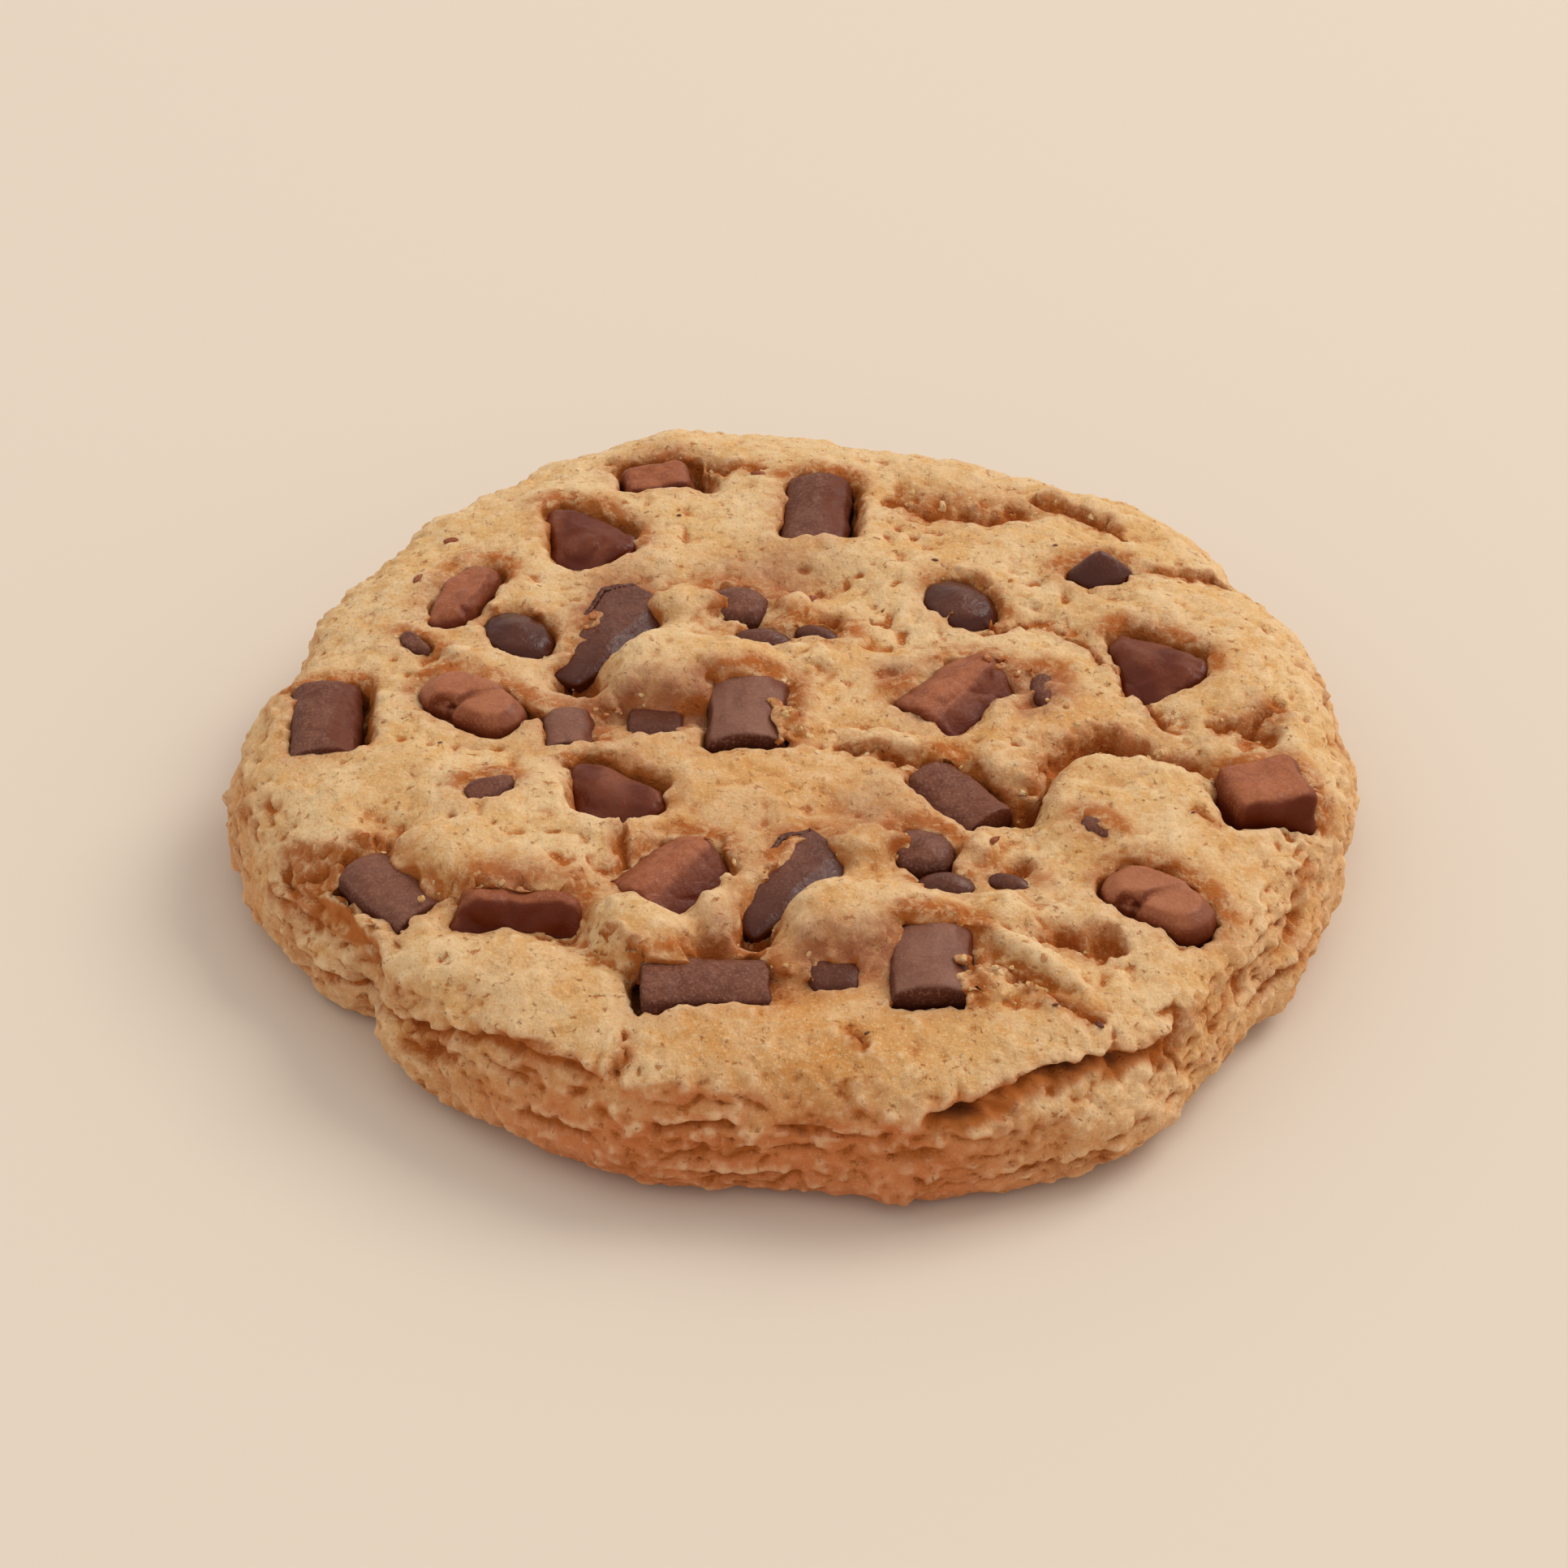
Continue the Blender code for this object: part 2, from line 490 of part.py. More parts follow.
def piece_matrix(x, y, yaw, pitch, roll, rise):
    """Places a piece whose top is at its own height 0."""
    turn = Matrix.Rotation(math.radians(yaw), 4, "Z")
    tilt = Matrix.Rotation(math.radians(pitch), 4, "Y") @ Matrix.Rotation(math.radians(roll), 4, "X")
    place = Matrix.Translation(Vector((x, y, general_surface(x, y) + rise)))
    return place @ turn @ tilt


def hull_bmesh(points):
    bm = bmesh.new()
    for point in points:
        bm.verts.new(Vector(point) * MM)
    made = bmesh.ops.convex_hull(bm, input=bm.verts)
    unused = made["geom_interior"] + made["geom_unused"]
    inside = {item for item in unused if isinstance(item, bmesh.types.BMVert)}
    bmesh.ops.delete(bm, geom=list(inside), context="VERTS")
    bmesh.ops.recalc_face_normals(bm, faces=bm.faces)
    return bm


def make_piece(name, entry, collection, material):
    shape, x, y, length, width, thickness, yaw, pitch, roll, rise, _gap, _is_open = entry
    bm = hull_bmesh(SHAPES[shape](length, width, thickness))
    bmesh.ops.dissolve_limit(bm, angle_limit=math.radians(FLAT_ANGLE), verts=bm.verts, edges=bm.edges)
    piece = object_from_bmesh(name, bm, collection)
    local = piece_matrix(x, y, yaw, pitch, roll, rise)
    piece.matrix_world = Matrix.Translation(local.translation * MM) @ local.to_3x3().to_4x4()
    piece.data.materials.append(material)
    if shape not in ROUND_SHAPES:
        bevel = piece.modifiers.new("melted edges", "BEVEL")
        bevel.width = min(BEVEL_WIDTH, BEVEL_SHARE * width) * MM
        bevel.segments = 1
        bevel.limit_method = "ANGLE"
        bevel.angle_limit = math.radians(BEVEL_ANGLE)
    return piece


def make_pocket(name, entry, collection):
    """The space cut for a piece: the piece with its clearance, its gap and the way out above it."""
    shape, x, y, length, width, thickness, yaw, pitch, roll, rise, gap, is_open = entry
    local = piece_matrix(x, y, yaw, pitch, roll, rise)
    grow = [(size + 2.0 * CLEARANCE) / size for size in (length, width, thickness)]
    middle = Vector((0.0, 0.0, -thickness / 2.0))
    side = Vector((gap[0], gap[1], 0.0))
    shifts = [Vector((0.0, 0.0, 0.0)), side * GAP_AT_FLOOR]
    if is_open:
        shifts += [Vector((0.0, 0.0, OPEN_REACH)), side * GAP_AT_MOUTH + Vector((0.0, 0.0, OPEN_REACH))]
    points = []
    for point in SHAPES[shape](length, width, thickness):
        away = Vector(point) - middle
        larger = middle + Vector(away[axis] * grow[axis] for axis in range(3))
        points += [local @ larger + shift for shift in shifts]
    pocket = object_from_bmesh(name + "_pocket", hull_bmesh(points), collection)
    pocket.hide_render = True
    pocket.display_type = "WIRE"
    return pocket


def make_collection(name):
    collection = bpy.data.collections.new(name)
    bpy.context.scene.collection.children.link(collection)
    return collection


def main():
    for obj in list(bpy.data.objects):
        bpy.data.objects.remove(obj)
    cookie = make_collection("chocolate chunk cookie")
    pockets = make_collection("pocket cutters")
    materials = {name: make_material(name) for name in COLOURS}
    dough = make_dough(cookie, materials["dough"])
    for name, entry in CHOCOLATE.items():
        make_piece(name, entry, cookie, materials[name.split("_")[0]])
        make_pocket(name, entry, pockets)
    cut = dough.modifiers.new("chocolate pockets", "BOOLEAN")
    cut.operation = "DIFFERENCE"
    cut.operand_type = "COLLECTION"
    cut.collection = pockets


main()
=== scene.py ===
import itertools
import json
import math

import bmesh
import bpy
import numpy as np
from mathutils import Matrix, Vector
from mathutils.bvhtree import BVHTree

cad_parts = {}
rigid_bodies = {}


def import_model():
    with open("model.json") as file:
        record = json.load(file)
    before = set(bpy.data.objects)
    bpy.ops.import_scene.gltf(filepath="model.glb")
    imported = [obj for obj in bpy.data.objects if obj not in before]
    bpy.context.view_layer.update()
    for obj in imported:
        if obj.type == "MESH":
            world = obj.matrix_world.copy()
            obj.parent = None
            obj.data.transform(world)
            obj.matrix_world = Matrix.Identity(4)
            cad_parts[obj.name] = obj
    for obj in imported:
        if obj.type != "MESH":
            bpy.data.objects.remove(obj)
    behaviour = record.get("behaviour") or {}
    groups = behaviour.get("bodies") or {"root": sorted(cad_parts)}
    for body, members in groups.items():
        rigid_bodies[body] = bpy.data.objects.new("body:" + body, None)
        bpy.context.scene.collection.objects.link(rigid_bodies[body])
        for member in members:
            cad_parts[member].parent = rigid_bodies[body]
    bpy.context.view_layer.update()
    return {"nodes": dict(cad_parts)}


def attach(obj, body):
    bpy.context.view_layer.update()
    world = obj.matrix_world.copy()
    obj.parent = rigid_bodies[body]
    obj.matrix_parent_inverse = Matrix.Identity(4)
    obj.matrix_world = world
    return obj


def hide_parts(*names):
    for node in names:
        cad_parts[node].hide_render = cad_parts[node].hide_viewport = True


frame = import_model()
mm = 0.001
print("frame loaded:", len(frame["nodes"]), "nodes")


# Noise that is the same on every run. Places and sizes are in millimetres.
def latticeValue(cell, seed):
    mixed = cell[:, 0] * 73856093 ^ cell[:, 1] * 19349663 ^ cell[:, 2] * 83492791 ^ seed * 265443576
    mixed = ((mixed ^ (mixed >> 13)) * 1274126177) & 0x7FFFFFFF
    mixed = ((mixed ^ (mixed >> 15)) * 961748927) & 0x7FFFFFFF
    return ((mixed >> 7) & 0xFFFFF) / 0xFFFFF


def grain(spots, size, seed=0):
    # smooth noise from -1 to 1
    place = spots / size
    low = np.floor(place).astype(np.int64)
    part = place - low
    part = part**3 * (part * (6 * part - 15) + 10)
    total = np.zeros(len(spots))
    for corner in itertools.product((0, 1), repeat=3):
        weight = np.prod(np.where(corner, part, 1 - part), axis=1)
        total += weight * latticeValue(low + corner, seed)
    return 2 * total - 1


def layers(spots, size, seed=0, count=3, fade=0.5):
    total = np.zeros(len(spots))
    for layer in range(count):
        total += fade**layer * grain(spots, size / 2.03**layer, seed + 17 * layer)
    return total


def cells(spots, size, seed=0):
    # distance to the nearest and the next nearest crumb centre, in cell sizes,
    # and the crumb's own random number
    place = spots / size
    low = np.floor(place).astype(np.int64)
    near = np.full(len(spots), 9.0)
    after = np.full(len(spots), 9.0)
    own = np.zeros(len(spots))
    for offset in itertools.product((-1, 0, 1), repeat=3):
        cell = low + offset
        centre = cell + np.stack([latticeValue(cell, seed + axis) for axis in range(3)], axis=1)
        away = np.linalg.norm(place - centre, axis=1)
        closer = away < near
        after = np.where(closer, near, np.minimum(after, away))
        own = np.where(closer, latticeValue(cell, seed + 7), own)
        near = np.where(closer, away, near)
    return near, after, own


def ease(low, high, value):
    share = np.clip((value - low) / (high - low), 0, 1)
    return share * share * (3 - 2 * share)


def alongLine(flat, points):
    # distance of each place to a line of points, on which side of the line it lies,
    # and how far along the line it is
    best = np.full(len(flat), 1e9)
    side = np.zeros(len(flat))
    along = np.zeros(len(flat))
    for index, (start, end) in enumerate(zip(points, points[1:])):
        start, end = np.array(start, float), np.array(end, float)
        run = end - start
        away = flat - start
        share = np.clip(away @ run / (run @ run), 0, 1)
        gap = away - share[:, None] * run
        length = np.hypot(gap[:, 0], gap[:, 1])
        closer = length < best
        best = np.where(closer, length, best)
        side = np.where(closer, np.sign(run[0] * away[:, 1] - run[1] * away[:, 0]), side)
        along = np.where(closer, (index + share) / (len(points) - 1), along)
    return best, side, along


# Meshes as arrays.
def readSpots(mesh):
    spots = np.empty(len(mesh.vertices) * 3, np.float32)
    mesh.vertices.foreach_get("co", spots)
    return spots.reshape(-1, 3).astype(float) / mm


def writeSpots(mesh, spots):
    mesh.vertices.foreach_set("co", (spots * mm).astype(np.float32).ravel())
    mesh.update()


def readNormals(mesh):
    normals = np.empty(len(mesh.vertices) * 3, np.float32)
    mesh.vertex_normals.foreach_get("vector", normals)
    return normals.reshape(-1, 3).astype(float)


def readEdges(mesh):
    edges = np.empty(len(mesh.edges) * 2, np.int32)
    mesh.edges.foreach_get("vertices", edges)
    return edges.reshape(-1, 2)


def relax(spots, edges, rounds, strength=0.5):
    # moves each point towards the middle of its neighbours; strength may differ from point to point
    strength = np.broadcast_to(np.asarray(strength, float), (len(spots),))[:, None]
    neighbours = np.bincount(edges.ravel(), minlength=len(spots))[:, None]
    for _ in range(rounds):
        total = np.stack([
            np.bincount(edges[:, 0], spots[edges[:, 1], axis], len(spots))
            + np.bincount(edges[:, 1], spots[edges[:, 0], axis], len(spots))
            for axis in range(spots.shape[1])
        ], axis=1)
        spots = spots + strength * (total / np.maximum(neighbours, 1) - spots)
    return spots


def setAttribute(mesh, name, values):
    attribute = mesh.attributes.get(name) or mesh.attributes.new(name, "FLOAT", "POINT")
    attribute.data.foreach_set("value", np.asarray(values, np.float32))


def addObject(name, data):
    made = bpy.data.objects.new(name, data)
    bpy.context.scene.collection.objects.link(made)
    return made


def makePiece(name, mesh, replaced=()):
    piece = addObject(name, mesh)
    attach(piece, "root")
    if replaced:
        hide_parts(*replaced)


def withModifiers(mesh, settings):
    # a new mesh after the modifiers; settings is a list of (type, {value: setting})
    holder = addObject("workpiece", mesh)
    for kind, values in settings:
        modifier = holder.modifiers.new(kind, kind)
        for key, value in values.items():
            setattr(modifier, key, value)
    graph = bpy.context.evaluated_depsgraph_get()
    made = bpy.data.meshes.new_from_object(holder.evaluated_get(graph))
    bpy.data.objects.remove(holder)
    return made


def copyOfNode(node):
    mesh = frame["nodes"][node].data.copy()
    mesh.materials.clear()
    for layer in list(mesh.attributes):
        if not layer.is_required and not layer.is_internal:
            mesh.attributes.remove(layer)
    bm = bmesh.new()
    bm.from_mesh(mesh)
    bmesh.ops.remove_doubles(bm, verts=bm.verts, dist=1e-6)
    bm.to_mesh(mesh)
    bm.free()
    return mesh


def meshOf(name, spots, faces):
    mesh = bpy.data.meshes.new(name)
    mesh.from_pydata([tuple(spot) for spot in spots * mm], [], faces)
    mesh.update()
    return mesh


# Shader helpers.
def startMaterial(name):
    material = bpy.data.materials.new(name)
    material.use_nodes = True
    tree = material.node_tree
    return material, tree, tree.nodes["Principled BSDF"]


def node(tree, kind, values=None, **inputs):
    # adds a shader node; inputs by name, or n0, n1... by number, are a link or a number
    made = tree.nodes.new(kind)
    for key, value in (values or {}).items():
        setattr(made, key, value)
    for key, value in inputs.items():
        socket = made.inputs[int(key[1:])] if key[0] == "n" and key[1:].isdigit() else made.inputs[key]
        if isinstance(value, bpy.types.NodeSocket):
            tree.links.new(value, socket)
        else:
            socket.default_value = value
    return made


def patternsOf(tree, noises):
    # noises by name: size of the features in millimetres, detail, roughness and distortion
    place = node(tree, "ShaderNodeTexCoord").outputs["Object"]
    return {
        name: node(tree, "ShaderNodeTexNoise", Vector=place, Scale=1 / (size * mm), Detail=detail,
                   Roughness=roughness, Distortion=distortion).outputs["Fac"]
        for name, (size, detail, roughness, distortion) in noises.items()
    }


def paintedOn(tree, names):
    # the values painted on the points of a mesh
    made = {name: node(tree, "ShaderNodeAttribute", {"attribute_name": name}) for name in names}
    return {name: attribute.outputs["Fac"] for name, attribute in made.items()}


def spread(tree, value, low, high, start=0.0, end=1.0):
    return node(tree, "ShaderNodeMapRange", {"interpolation_type": "SMOOTHSTEP"}, n0=value, n1=low, n2=high,
                n3=start, n4=end).outputs[0]


def maths(tree, operation, first, second=0.0):
    return node(tree, "ShaderNodeMath", {"operation": operation}, n0=first, n1=second).outputs[0]


def blendColours(tree, share, first, second, how="MIX"):
    made = tree.nodes.new("ShaderNodeMix")
    made.data_type = "RGBA"
    made.blend_type = how
    for socket, value in ((made.inputs[0], share), (made.inputs[6], first), (made.inputs[7], second)):
        if isinstance(value, bpy.types.NodeSocket):
            tree.links.new(value, socket)
        else:
            socket.default_value = (*value, 1.0) if isinstance(value, tuple) else value
    return made.outputs[2]


def layCoats(tree, colour, look, fields, coats):
    # lays coats of colour one over the other: the colour, the field that holds it back or None, and, where
    # it follows a pattern, that field, from and to which value it grows, and its share at either
    for tint, holder, *pattern in coats:
        share = fields[holder] if holder else 1.0
        if pattern:
            share = maths(tree, "MULTIPLY", share, spread(tree, fields[pattern[0]], *pattern[1:]))
        colour = blendColours(tree, share, colour, look[tint])
    return colour


def layBumps(tree, fields, bumps):
    # bumps one over the other: the field, its height in millimetres and its strength
    normal = None
    for name, height, strength in bumps:
        made = node(tree, "ShaderNodeBump", Height=fields[name], Strength=strength, Distance=height * mm)
        if normal is not None:
            tree.links.new(normal, made.inputs["Normal"])
        normal = made.outputs["Normal"]
    return normal


doughLook = {
    "pale": (0.735, 0.505, 0.270),
    "golden": (0.670, 0.400, 0.164),
    "toasted": (0.59, 0.255, 0.068),
    "warm": (0.60, 0.265, 0.070),      # in the middle and towards the front
    "raised": (0.82, 0.60, 0.355),     # painted highlight on the highest crumbs and lips, and the pale grains of the crust
    "inside": (0.42, 0.112, 0.015),    # painted shade in hollows, pores and cracks
    "deep": (0.11, 0.024, 0.006),      # painted shade at the bottom of the pockets and cracks
    "halo": (0.38, 0.096, 0.011),      # around the chocolate: a stain, with painted shade on the far side of each piece
    "side": (0.55, 0.160, 0.046),      # browner towards the foot
    # lighter than the side: its browning, with painted light from the floor
    "foot": (0.60, 0.210, 0.080),
    "smear": (0.35, 0.125, 0.058),     # where melted chocolate has wiped the dough, and painted shade on the near faces of lumps
    "roughness": (0.74, 0.96),
    "specular": 0.18,
    "glow": 0.20,                      # share of the light that runs through the dough
    "depthOfGlow": 0.8,                # how far it runs, in millimetres
    "colourOfGlow": (1.0, 0.38, 0.13),
}

doughNoises = {
    "broad": (7.0, 2.0, 0.55, 0.0),
    "middle": (1.9, 3.0, 0.60, 0.0),
    "fleck": (1.0, 4.0, 0.70, 0.5),
    "pore": (0.80, 3.0, 0.60, 0.3),
    "fine": (0.48, 3.0, 0.65, 0.0),
    "sand": (0.30, 3.0, 0.75, 0.0),
}

doughCoats = (
    ("golden", None, "patch", 0.40, 0.60, 0.0, 1.0),
    ("warm", "warm", "patch", 0.30, 0.62, 0.45, 1.0),
    ("toasted", None, "fleck", 0.54, 0.70, 0.0, 0.50),
    ("toasted", None, "middle", 0.57, 0.73, 0.0, 0.32),
    # the browned side and foot, with painted shade round the side and painted floor light on the foot
    ("side", "sideBake", "middle", 0.25, 0.60, 0.82, 1.0),
    ("foot", "footBake", "patch", 0.36, 0.62, 0.35, 1.0),
    # painted highlight on crests and painted shade in hollows, both following the relief
    ("raised", None, "relief", 0.12, 0.75, 0.0, 0.55),
    ("inside", None, "relief", -0.05, -0.75, 0.0, 1.0),
    ("raised", "crust", "sand", 0.53, 0.66, 0.0, 0.50),
    ("toasted", None, "sand", 0.46, 0.34, 0.0, 0.45),
    # painted shade in the pores
    ("inside", None, "pore", 0.62, 0.72, 0.0, 0.80),
    ("halo", "halo", "fleck", 0.34, 0.56, 0.45, 1.0),
    ("smear", "smear", "fleck", 0.28, 0.60, 0.62, 1.05),
    # painted shade on the walls of the pockets and deep in pockets and cracks
    ("inside", None, "pocketWall", 0.0, 1.0, 0.0, 0.9),
    ("deep", None, "pocketWall", 1.0, 2.0, 0.0, 1.0),
    ("golden", "glint"),
)

doughBumps = (("shut", 0.24, 0.60), ("fleck", 0.30, 0.55), ("fine", 0.30, 0.62), ("sand", 0.16, 0.55))


def doughMaterial():
    look = doughLook
    material, tree, shader = startMaterial("bakedDough")
    fields = patternsOf(tree, doughNoises)
    fields.update(paintedOn(tree, ("relief", "warm", "sideBake", "footBake", "halo", "smear", "pocketWall")))
    half = [maths(tree, "MULTIPLY", fields[name], 0.5) for name in ("broad", "middle")]
    fields["patch"] = maths(tree, "ADD", *half)
    fields["crust"] = spread(tree, fields["sideBake"], 0.0, 0.7, 1.0, 0.25)
    fields["shut"] = maths(tree, "SUBTRACT", 1.0, spread(tree, fields["pore"], 0.58, 0.74))
    # the finest grains catch the light, less so on the walls of the pockets
    onWall = maths(tree, "MULTIPLY", fields["pocketWall"], 0.15)
    fields["glint"] = maths(tree, "SUBTRACT", spread(tree, fields["sand"], 0.56, 0.70, 0.0, 0.16), onWall)
    tree.links.new(layCoats(tree, look["pale"], look, fields, doughCoats), shader.inputs["Base Color"])
    tree.links.new(spread(tree, fields["middle"], 0.3, 0.7, *look["roughness"]), shader.inputs["Roughness"])
    tree.links.new(layBumps(tree, fields, doughBumps), shader.inputs["Normal"])
    shader.inputs["Specular IOR Level"].default_value = look["specular"]
    shader.inputs["Subsurface Weight"].default_value = look["glow"]
    shader.inputs["Subsurface Radius"].default_value = look["colourOfGlow"]
    shader.inputs["Subsurface Scale"].default_value = look["depthOfGlow"] * mm
    return material


chocolateLook = {
    "dark": {
        "body": (0.092, 0.024, 0.012), "bloom": (0.192, 0.068, 0.037), "deep": (0.058, 0.009, 0.002),
        "pale": (0.290, 0.138, 0.094), "broken": (0.150, 0.034, 0.013), "scuff": (0.30, 0.16, 0.11),
        "shine": 0.17,
    },
    "milk": {
        "body": (0.220, 0.056, 0.022), "bloom": (0.365, 0.113, 0.046), "deep": (0.105, 0.014, 0.002),
        "pale": (0.430, 0.165, 0.078), "broken": (0.205, 0.052, 0.020), "scuff": (0.48, 0.22, 0.12),
        "shine": 0.15,
    },
}


chocolateNoises = {
    "broad": (3.0, 2.0, 0.55, 0.0),
    "speck": (0.24, 2.0, 0.60, 0.0),
    "scratch": (0.75, 4.0, 0.75, 0.8),
    "streak": (1.5, 3.0, 0.60, 1.4),
}

chocolateCoats = (
    # painted light on upward faces, over the chocolate's own bloom
    ("bloom", "upper", "broad", 0.25, 0.70, 0.55, 1.0),
    ("body", None, "streak", 0.44, 0.60, 0.0, 0.50),
    ("pale", "paler"),
    ("pale", None, "speck", 0.48, 0.70, 0.0, 0.55),
    ("scuff", None, "scratch", 0.64, 0.74, 0.0, 0.35),
    ("broken", "broken"),
    # the darker pieces' own tone, and painted shade on right and front faces and low in the pocket
    ("deep", "darker"),
    ("deep", "sunk"),
)

chocolateBumps = (("streak", 0.30, 0.30), ("scratch", 0.18, 0.45), ("speck", 0.05, 0.45))
chocolateRoughness = (0.38, 0.66)
shineOfPolish = 0.35       # what a full polish adds to the shine


def chocolateMaterial(kind):
    look = chocolateLook[kind]
    material, tree, shader = startMaterial(kind + "Chocolate")
    fields = patternsOf(tree, chocolateNoises)
    fields.update(paintedOn(tree, ("upper", "paler", "broken", "darker", "sunk", "polish")))
    tree.links.new(layCoats(tree, look["body"], look, fields, chocolateCoats), shader.inputs["Base Color"])
    rough = spread(tree, fields["scratch"], 0.35, 0.7, *chocolateRoughness)
    tree.links.new(maths(tree, "SUBTRACT", rough, fields["polish"]), shader.inputs["Roughness"])
    shine = maths(tree, "ADD", maths(tree, "MULTIPLY", fields["polish"], shineOfPolish), look["shine"])
    tree.links.new(shine, shader.inputs["Specular IOR Level"])
    tree.links.new(layBumps(tree, fields, chocolateBumps), shader.inputs["Normal"])
    return material


# The baked dough. Sizes are in millimetres.
dough = {
    "bodyVoxel": 0.42,
    "softenRim": 3,        # rounds of smoothing at the rims of the pockets
    "softenOpen": 12,      # and away from the chocolate
    "voxel": 0.31,
    "fuse": 3,             # rounds of smoothing after the lumps are joined on
    "mostTriangles": 194000,
    "wave": (5.0, 0.18),   # size and height of the broad unevenness of the crust
    "lump": (2.3, 0.13),
    "crumb": (1.0, 0.14),
    "sand": (0.62, 0.07),
    "torn": (0.95, 0.50),  # knobs along cracks and rims
    "pit": (1.1, 0.95),
    "pitLimits": (0.42, 0.50),         # how strong the noise is where pits open, and how widely they spread
    "lipReach": 1.6,       # how far round a piece the dough is drawn towards it
    "lipDraw": 0.95,
    "lipOver": (-0.55, 0.14),          # lips between these heights over a piece are lifted to the second
    "wellAbove": 30.0,
    "wobble": ((1.7, 0.60), (0.8, 0.45)),      # sizes and reaches of the wandering of torn lines
    "sideWobble": (0.7, 0.45),         # share of it along the side and upwards
    "sideRadius": 44.0,
    "splits": ((2.6, 0.48), (1.5, 0.34), (0.9, 0.22)),     # spacing and depth of the thin splits of the side
    "splitHalf": 0.24,
}

# Where each part of the cookie fades in, from one value to another: heights, radii and distances to the
# chocolate in millimetres, and slopes as the upward share of the normal.
zones = {
    "footHeight": (0.15, 0.9),
    "topSlope": (0.30, 0.70), "topHeight": (7.0, 9.5),
    "sideSlope": (0.62, 0.92), "sideRadius": (35.0, 39.0), "sideHeight": (0.6, 2.0),
    "pocketAway": (0.5, 1.6), "pocketSlope": (0.3, 0.8),
    "rimAway": (0.5, 1.7), "rimSlope": (0.2, 0.7),
    "swellRadius": (32.0, 40.0), "swellFoot": (0.0, 0.3), "swellTop": (10.0, 13.5),
    "openAway": (0.9, 2.3),
}

# Lumps of dough seen from above: outline, height of the foot and the crown, how boxy they are, and how much
# they rise per millimetre to the right and to the back. These occur twice, the second time moved.
twinLumps = (
    (((-15.7, 4.4), (-14.9, 2.9), (-13.2, 1.8), (-11.2, 1.1), (-8.8, 0.8), (-7.0, 1.0), (-6.6, 3.4),
      (-4.0, 4.1), (-0.8, 4.4), (0.4, 6.0), (-1.0, 7.6), (-4.0, 8.8), (-7.4, 9.6), (-10.8, 9.4),
      (-12.8, 8.2), (-14.6, 6.4)), 10.8, 15.3, 4.0, (0.02, -0.03)),
    (((-12.0, 14.2), (-11.0, 15.4), (-9.4, 16.0), (-7.4, 15.6), (-6.0, 14.9), (-4.4, 13.9), (-5.0, 13.3),
      (-6.6, 12.9), (-7.8, 11.8), (-9.6, 11.8), (-11.0, 12.6)), 12.2, 15.2, 2.6, (-0.05, 0.0)),
    (((-2.2, 7.8), (-1.0, 8.7), (0.6, 8.4), (2.4, 8.9), (3.8, 7.6), (4.2, 5.8), (2.4, 4.6), (-0.4, 5.4)),
     11.8, 14.4, 3.0, (0.0, 0.0)),
    (((-1.5, 13.0), (-1.2, 14.4), (-0.2, 15.2), (1.0, 15.4), (1.8, 14.2), (1.0, 12.9), (-0.2, 12.4)),
     12.2, 14.5, 2.4, (0.0, 0.0)),
)
twinShift = (14.3, -31.2)
doughLumps = (
    (((10.4, -25.8), (13.4, -26.6), (14.8, -29.2), (17.6, -31.5), (20.6, -33.6), (22.8, -34.4),
      (22.6, -33.0), (20.2, -30.6), (17.4, -28.2), (14.4, -25.8), (12.0, -24.4)), 10.8, 14.3, 3.0,
      (-0.02, 0.0)),
    (((-31.0, -15.4), (-29.4, -13.6), (-26.2, -12.1), (-21.2, -12.2), (-17.2, -13.4), (-14.6, -16.4),
      (-13.6, -20.4), (-14.6, -23.0), (-17.4, -23.0), (-20.2, -22.9), (-22.6, -22.4), (-25.2, -22.4),
      (-26.8, -21.2), (-28.6, -19.2), (-30.2, -17.4)), 10.6, 14.6, 5.0, (0.0, 0.01)),
    (((-15.4, -26.4), (-14.4, -24.9), (-12.8, -24.0), (-11.2, -25.4), (-9.6, -27.6), (-7.6, -29.6),
      (-7.2, -31.0), (-9.6, -31.6), (-12.0, -31.0), (-14.4, -28.9)), 11.2, 14.7, 3.0, (0.02, 0.0)),
    (((-7.4, -24.6), (-6.2, -22.9), (-4.6, -23.2), (-3.9, -25.2), (-4.3, -27.2), (-5.8, -28.2),
      (-7.2, -27.2)), 10.6, 14.0, 3.0, (0.0, 0.0)),
    (((15.6, 1.4), (17.2, 2.6), (18.4, 1.2), (18.0, -1.0), (17.2, -2.9), (15.6, -3.6), (14.8, -1.4)),
     11.2, 14.2, 3.0, (0.0, 0.0)),
    (((2.4, -1.4), (7.0, -1.8), (11.0, -2.8), (14.4, -5.0), (13.4, -6.2), (9.6, -5.5), (5.0, -4.8),
      (2.6, -3.4)), 10.8, 13.9, 3.5, (0.0, 0.0)),
    (((16.4, -5.0), (18.2, -5.4), (19.8, -7.6), (18.8, -9.6), (17.4, -9.2), (16.0, -7.4)),
     10.8, 13.5, 3.0, (0.0, 0.0)),
    (((18.8, -12.6), (19.9, -8.4), (21.4, -5.9), (23.2, -4.8), (25.8, -5.4), (30.0, -6.0), (32.6, -7.4),
      (32.4, -10.0), (30.0, -15.0), (26.0, -18.4), (21.0, -17.4)), 10.6, 14.2, 5.0, (0.0, 0.0)),
    (((-29.0, 8.2), (-27.2, 9.2), (-25.6, 8.0), (-26.6, 6.6)), 11.8, 13.9, 2.4, (0.0, 0.0)),
)

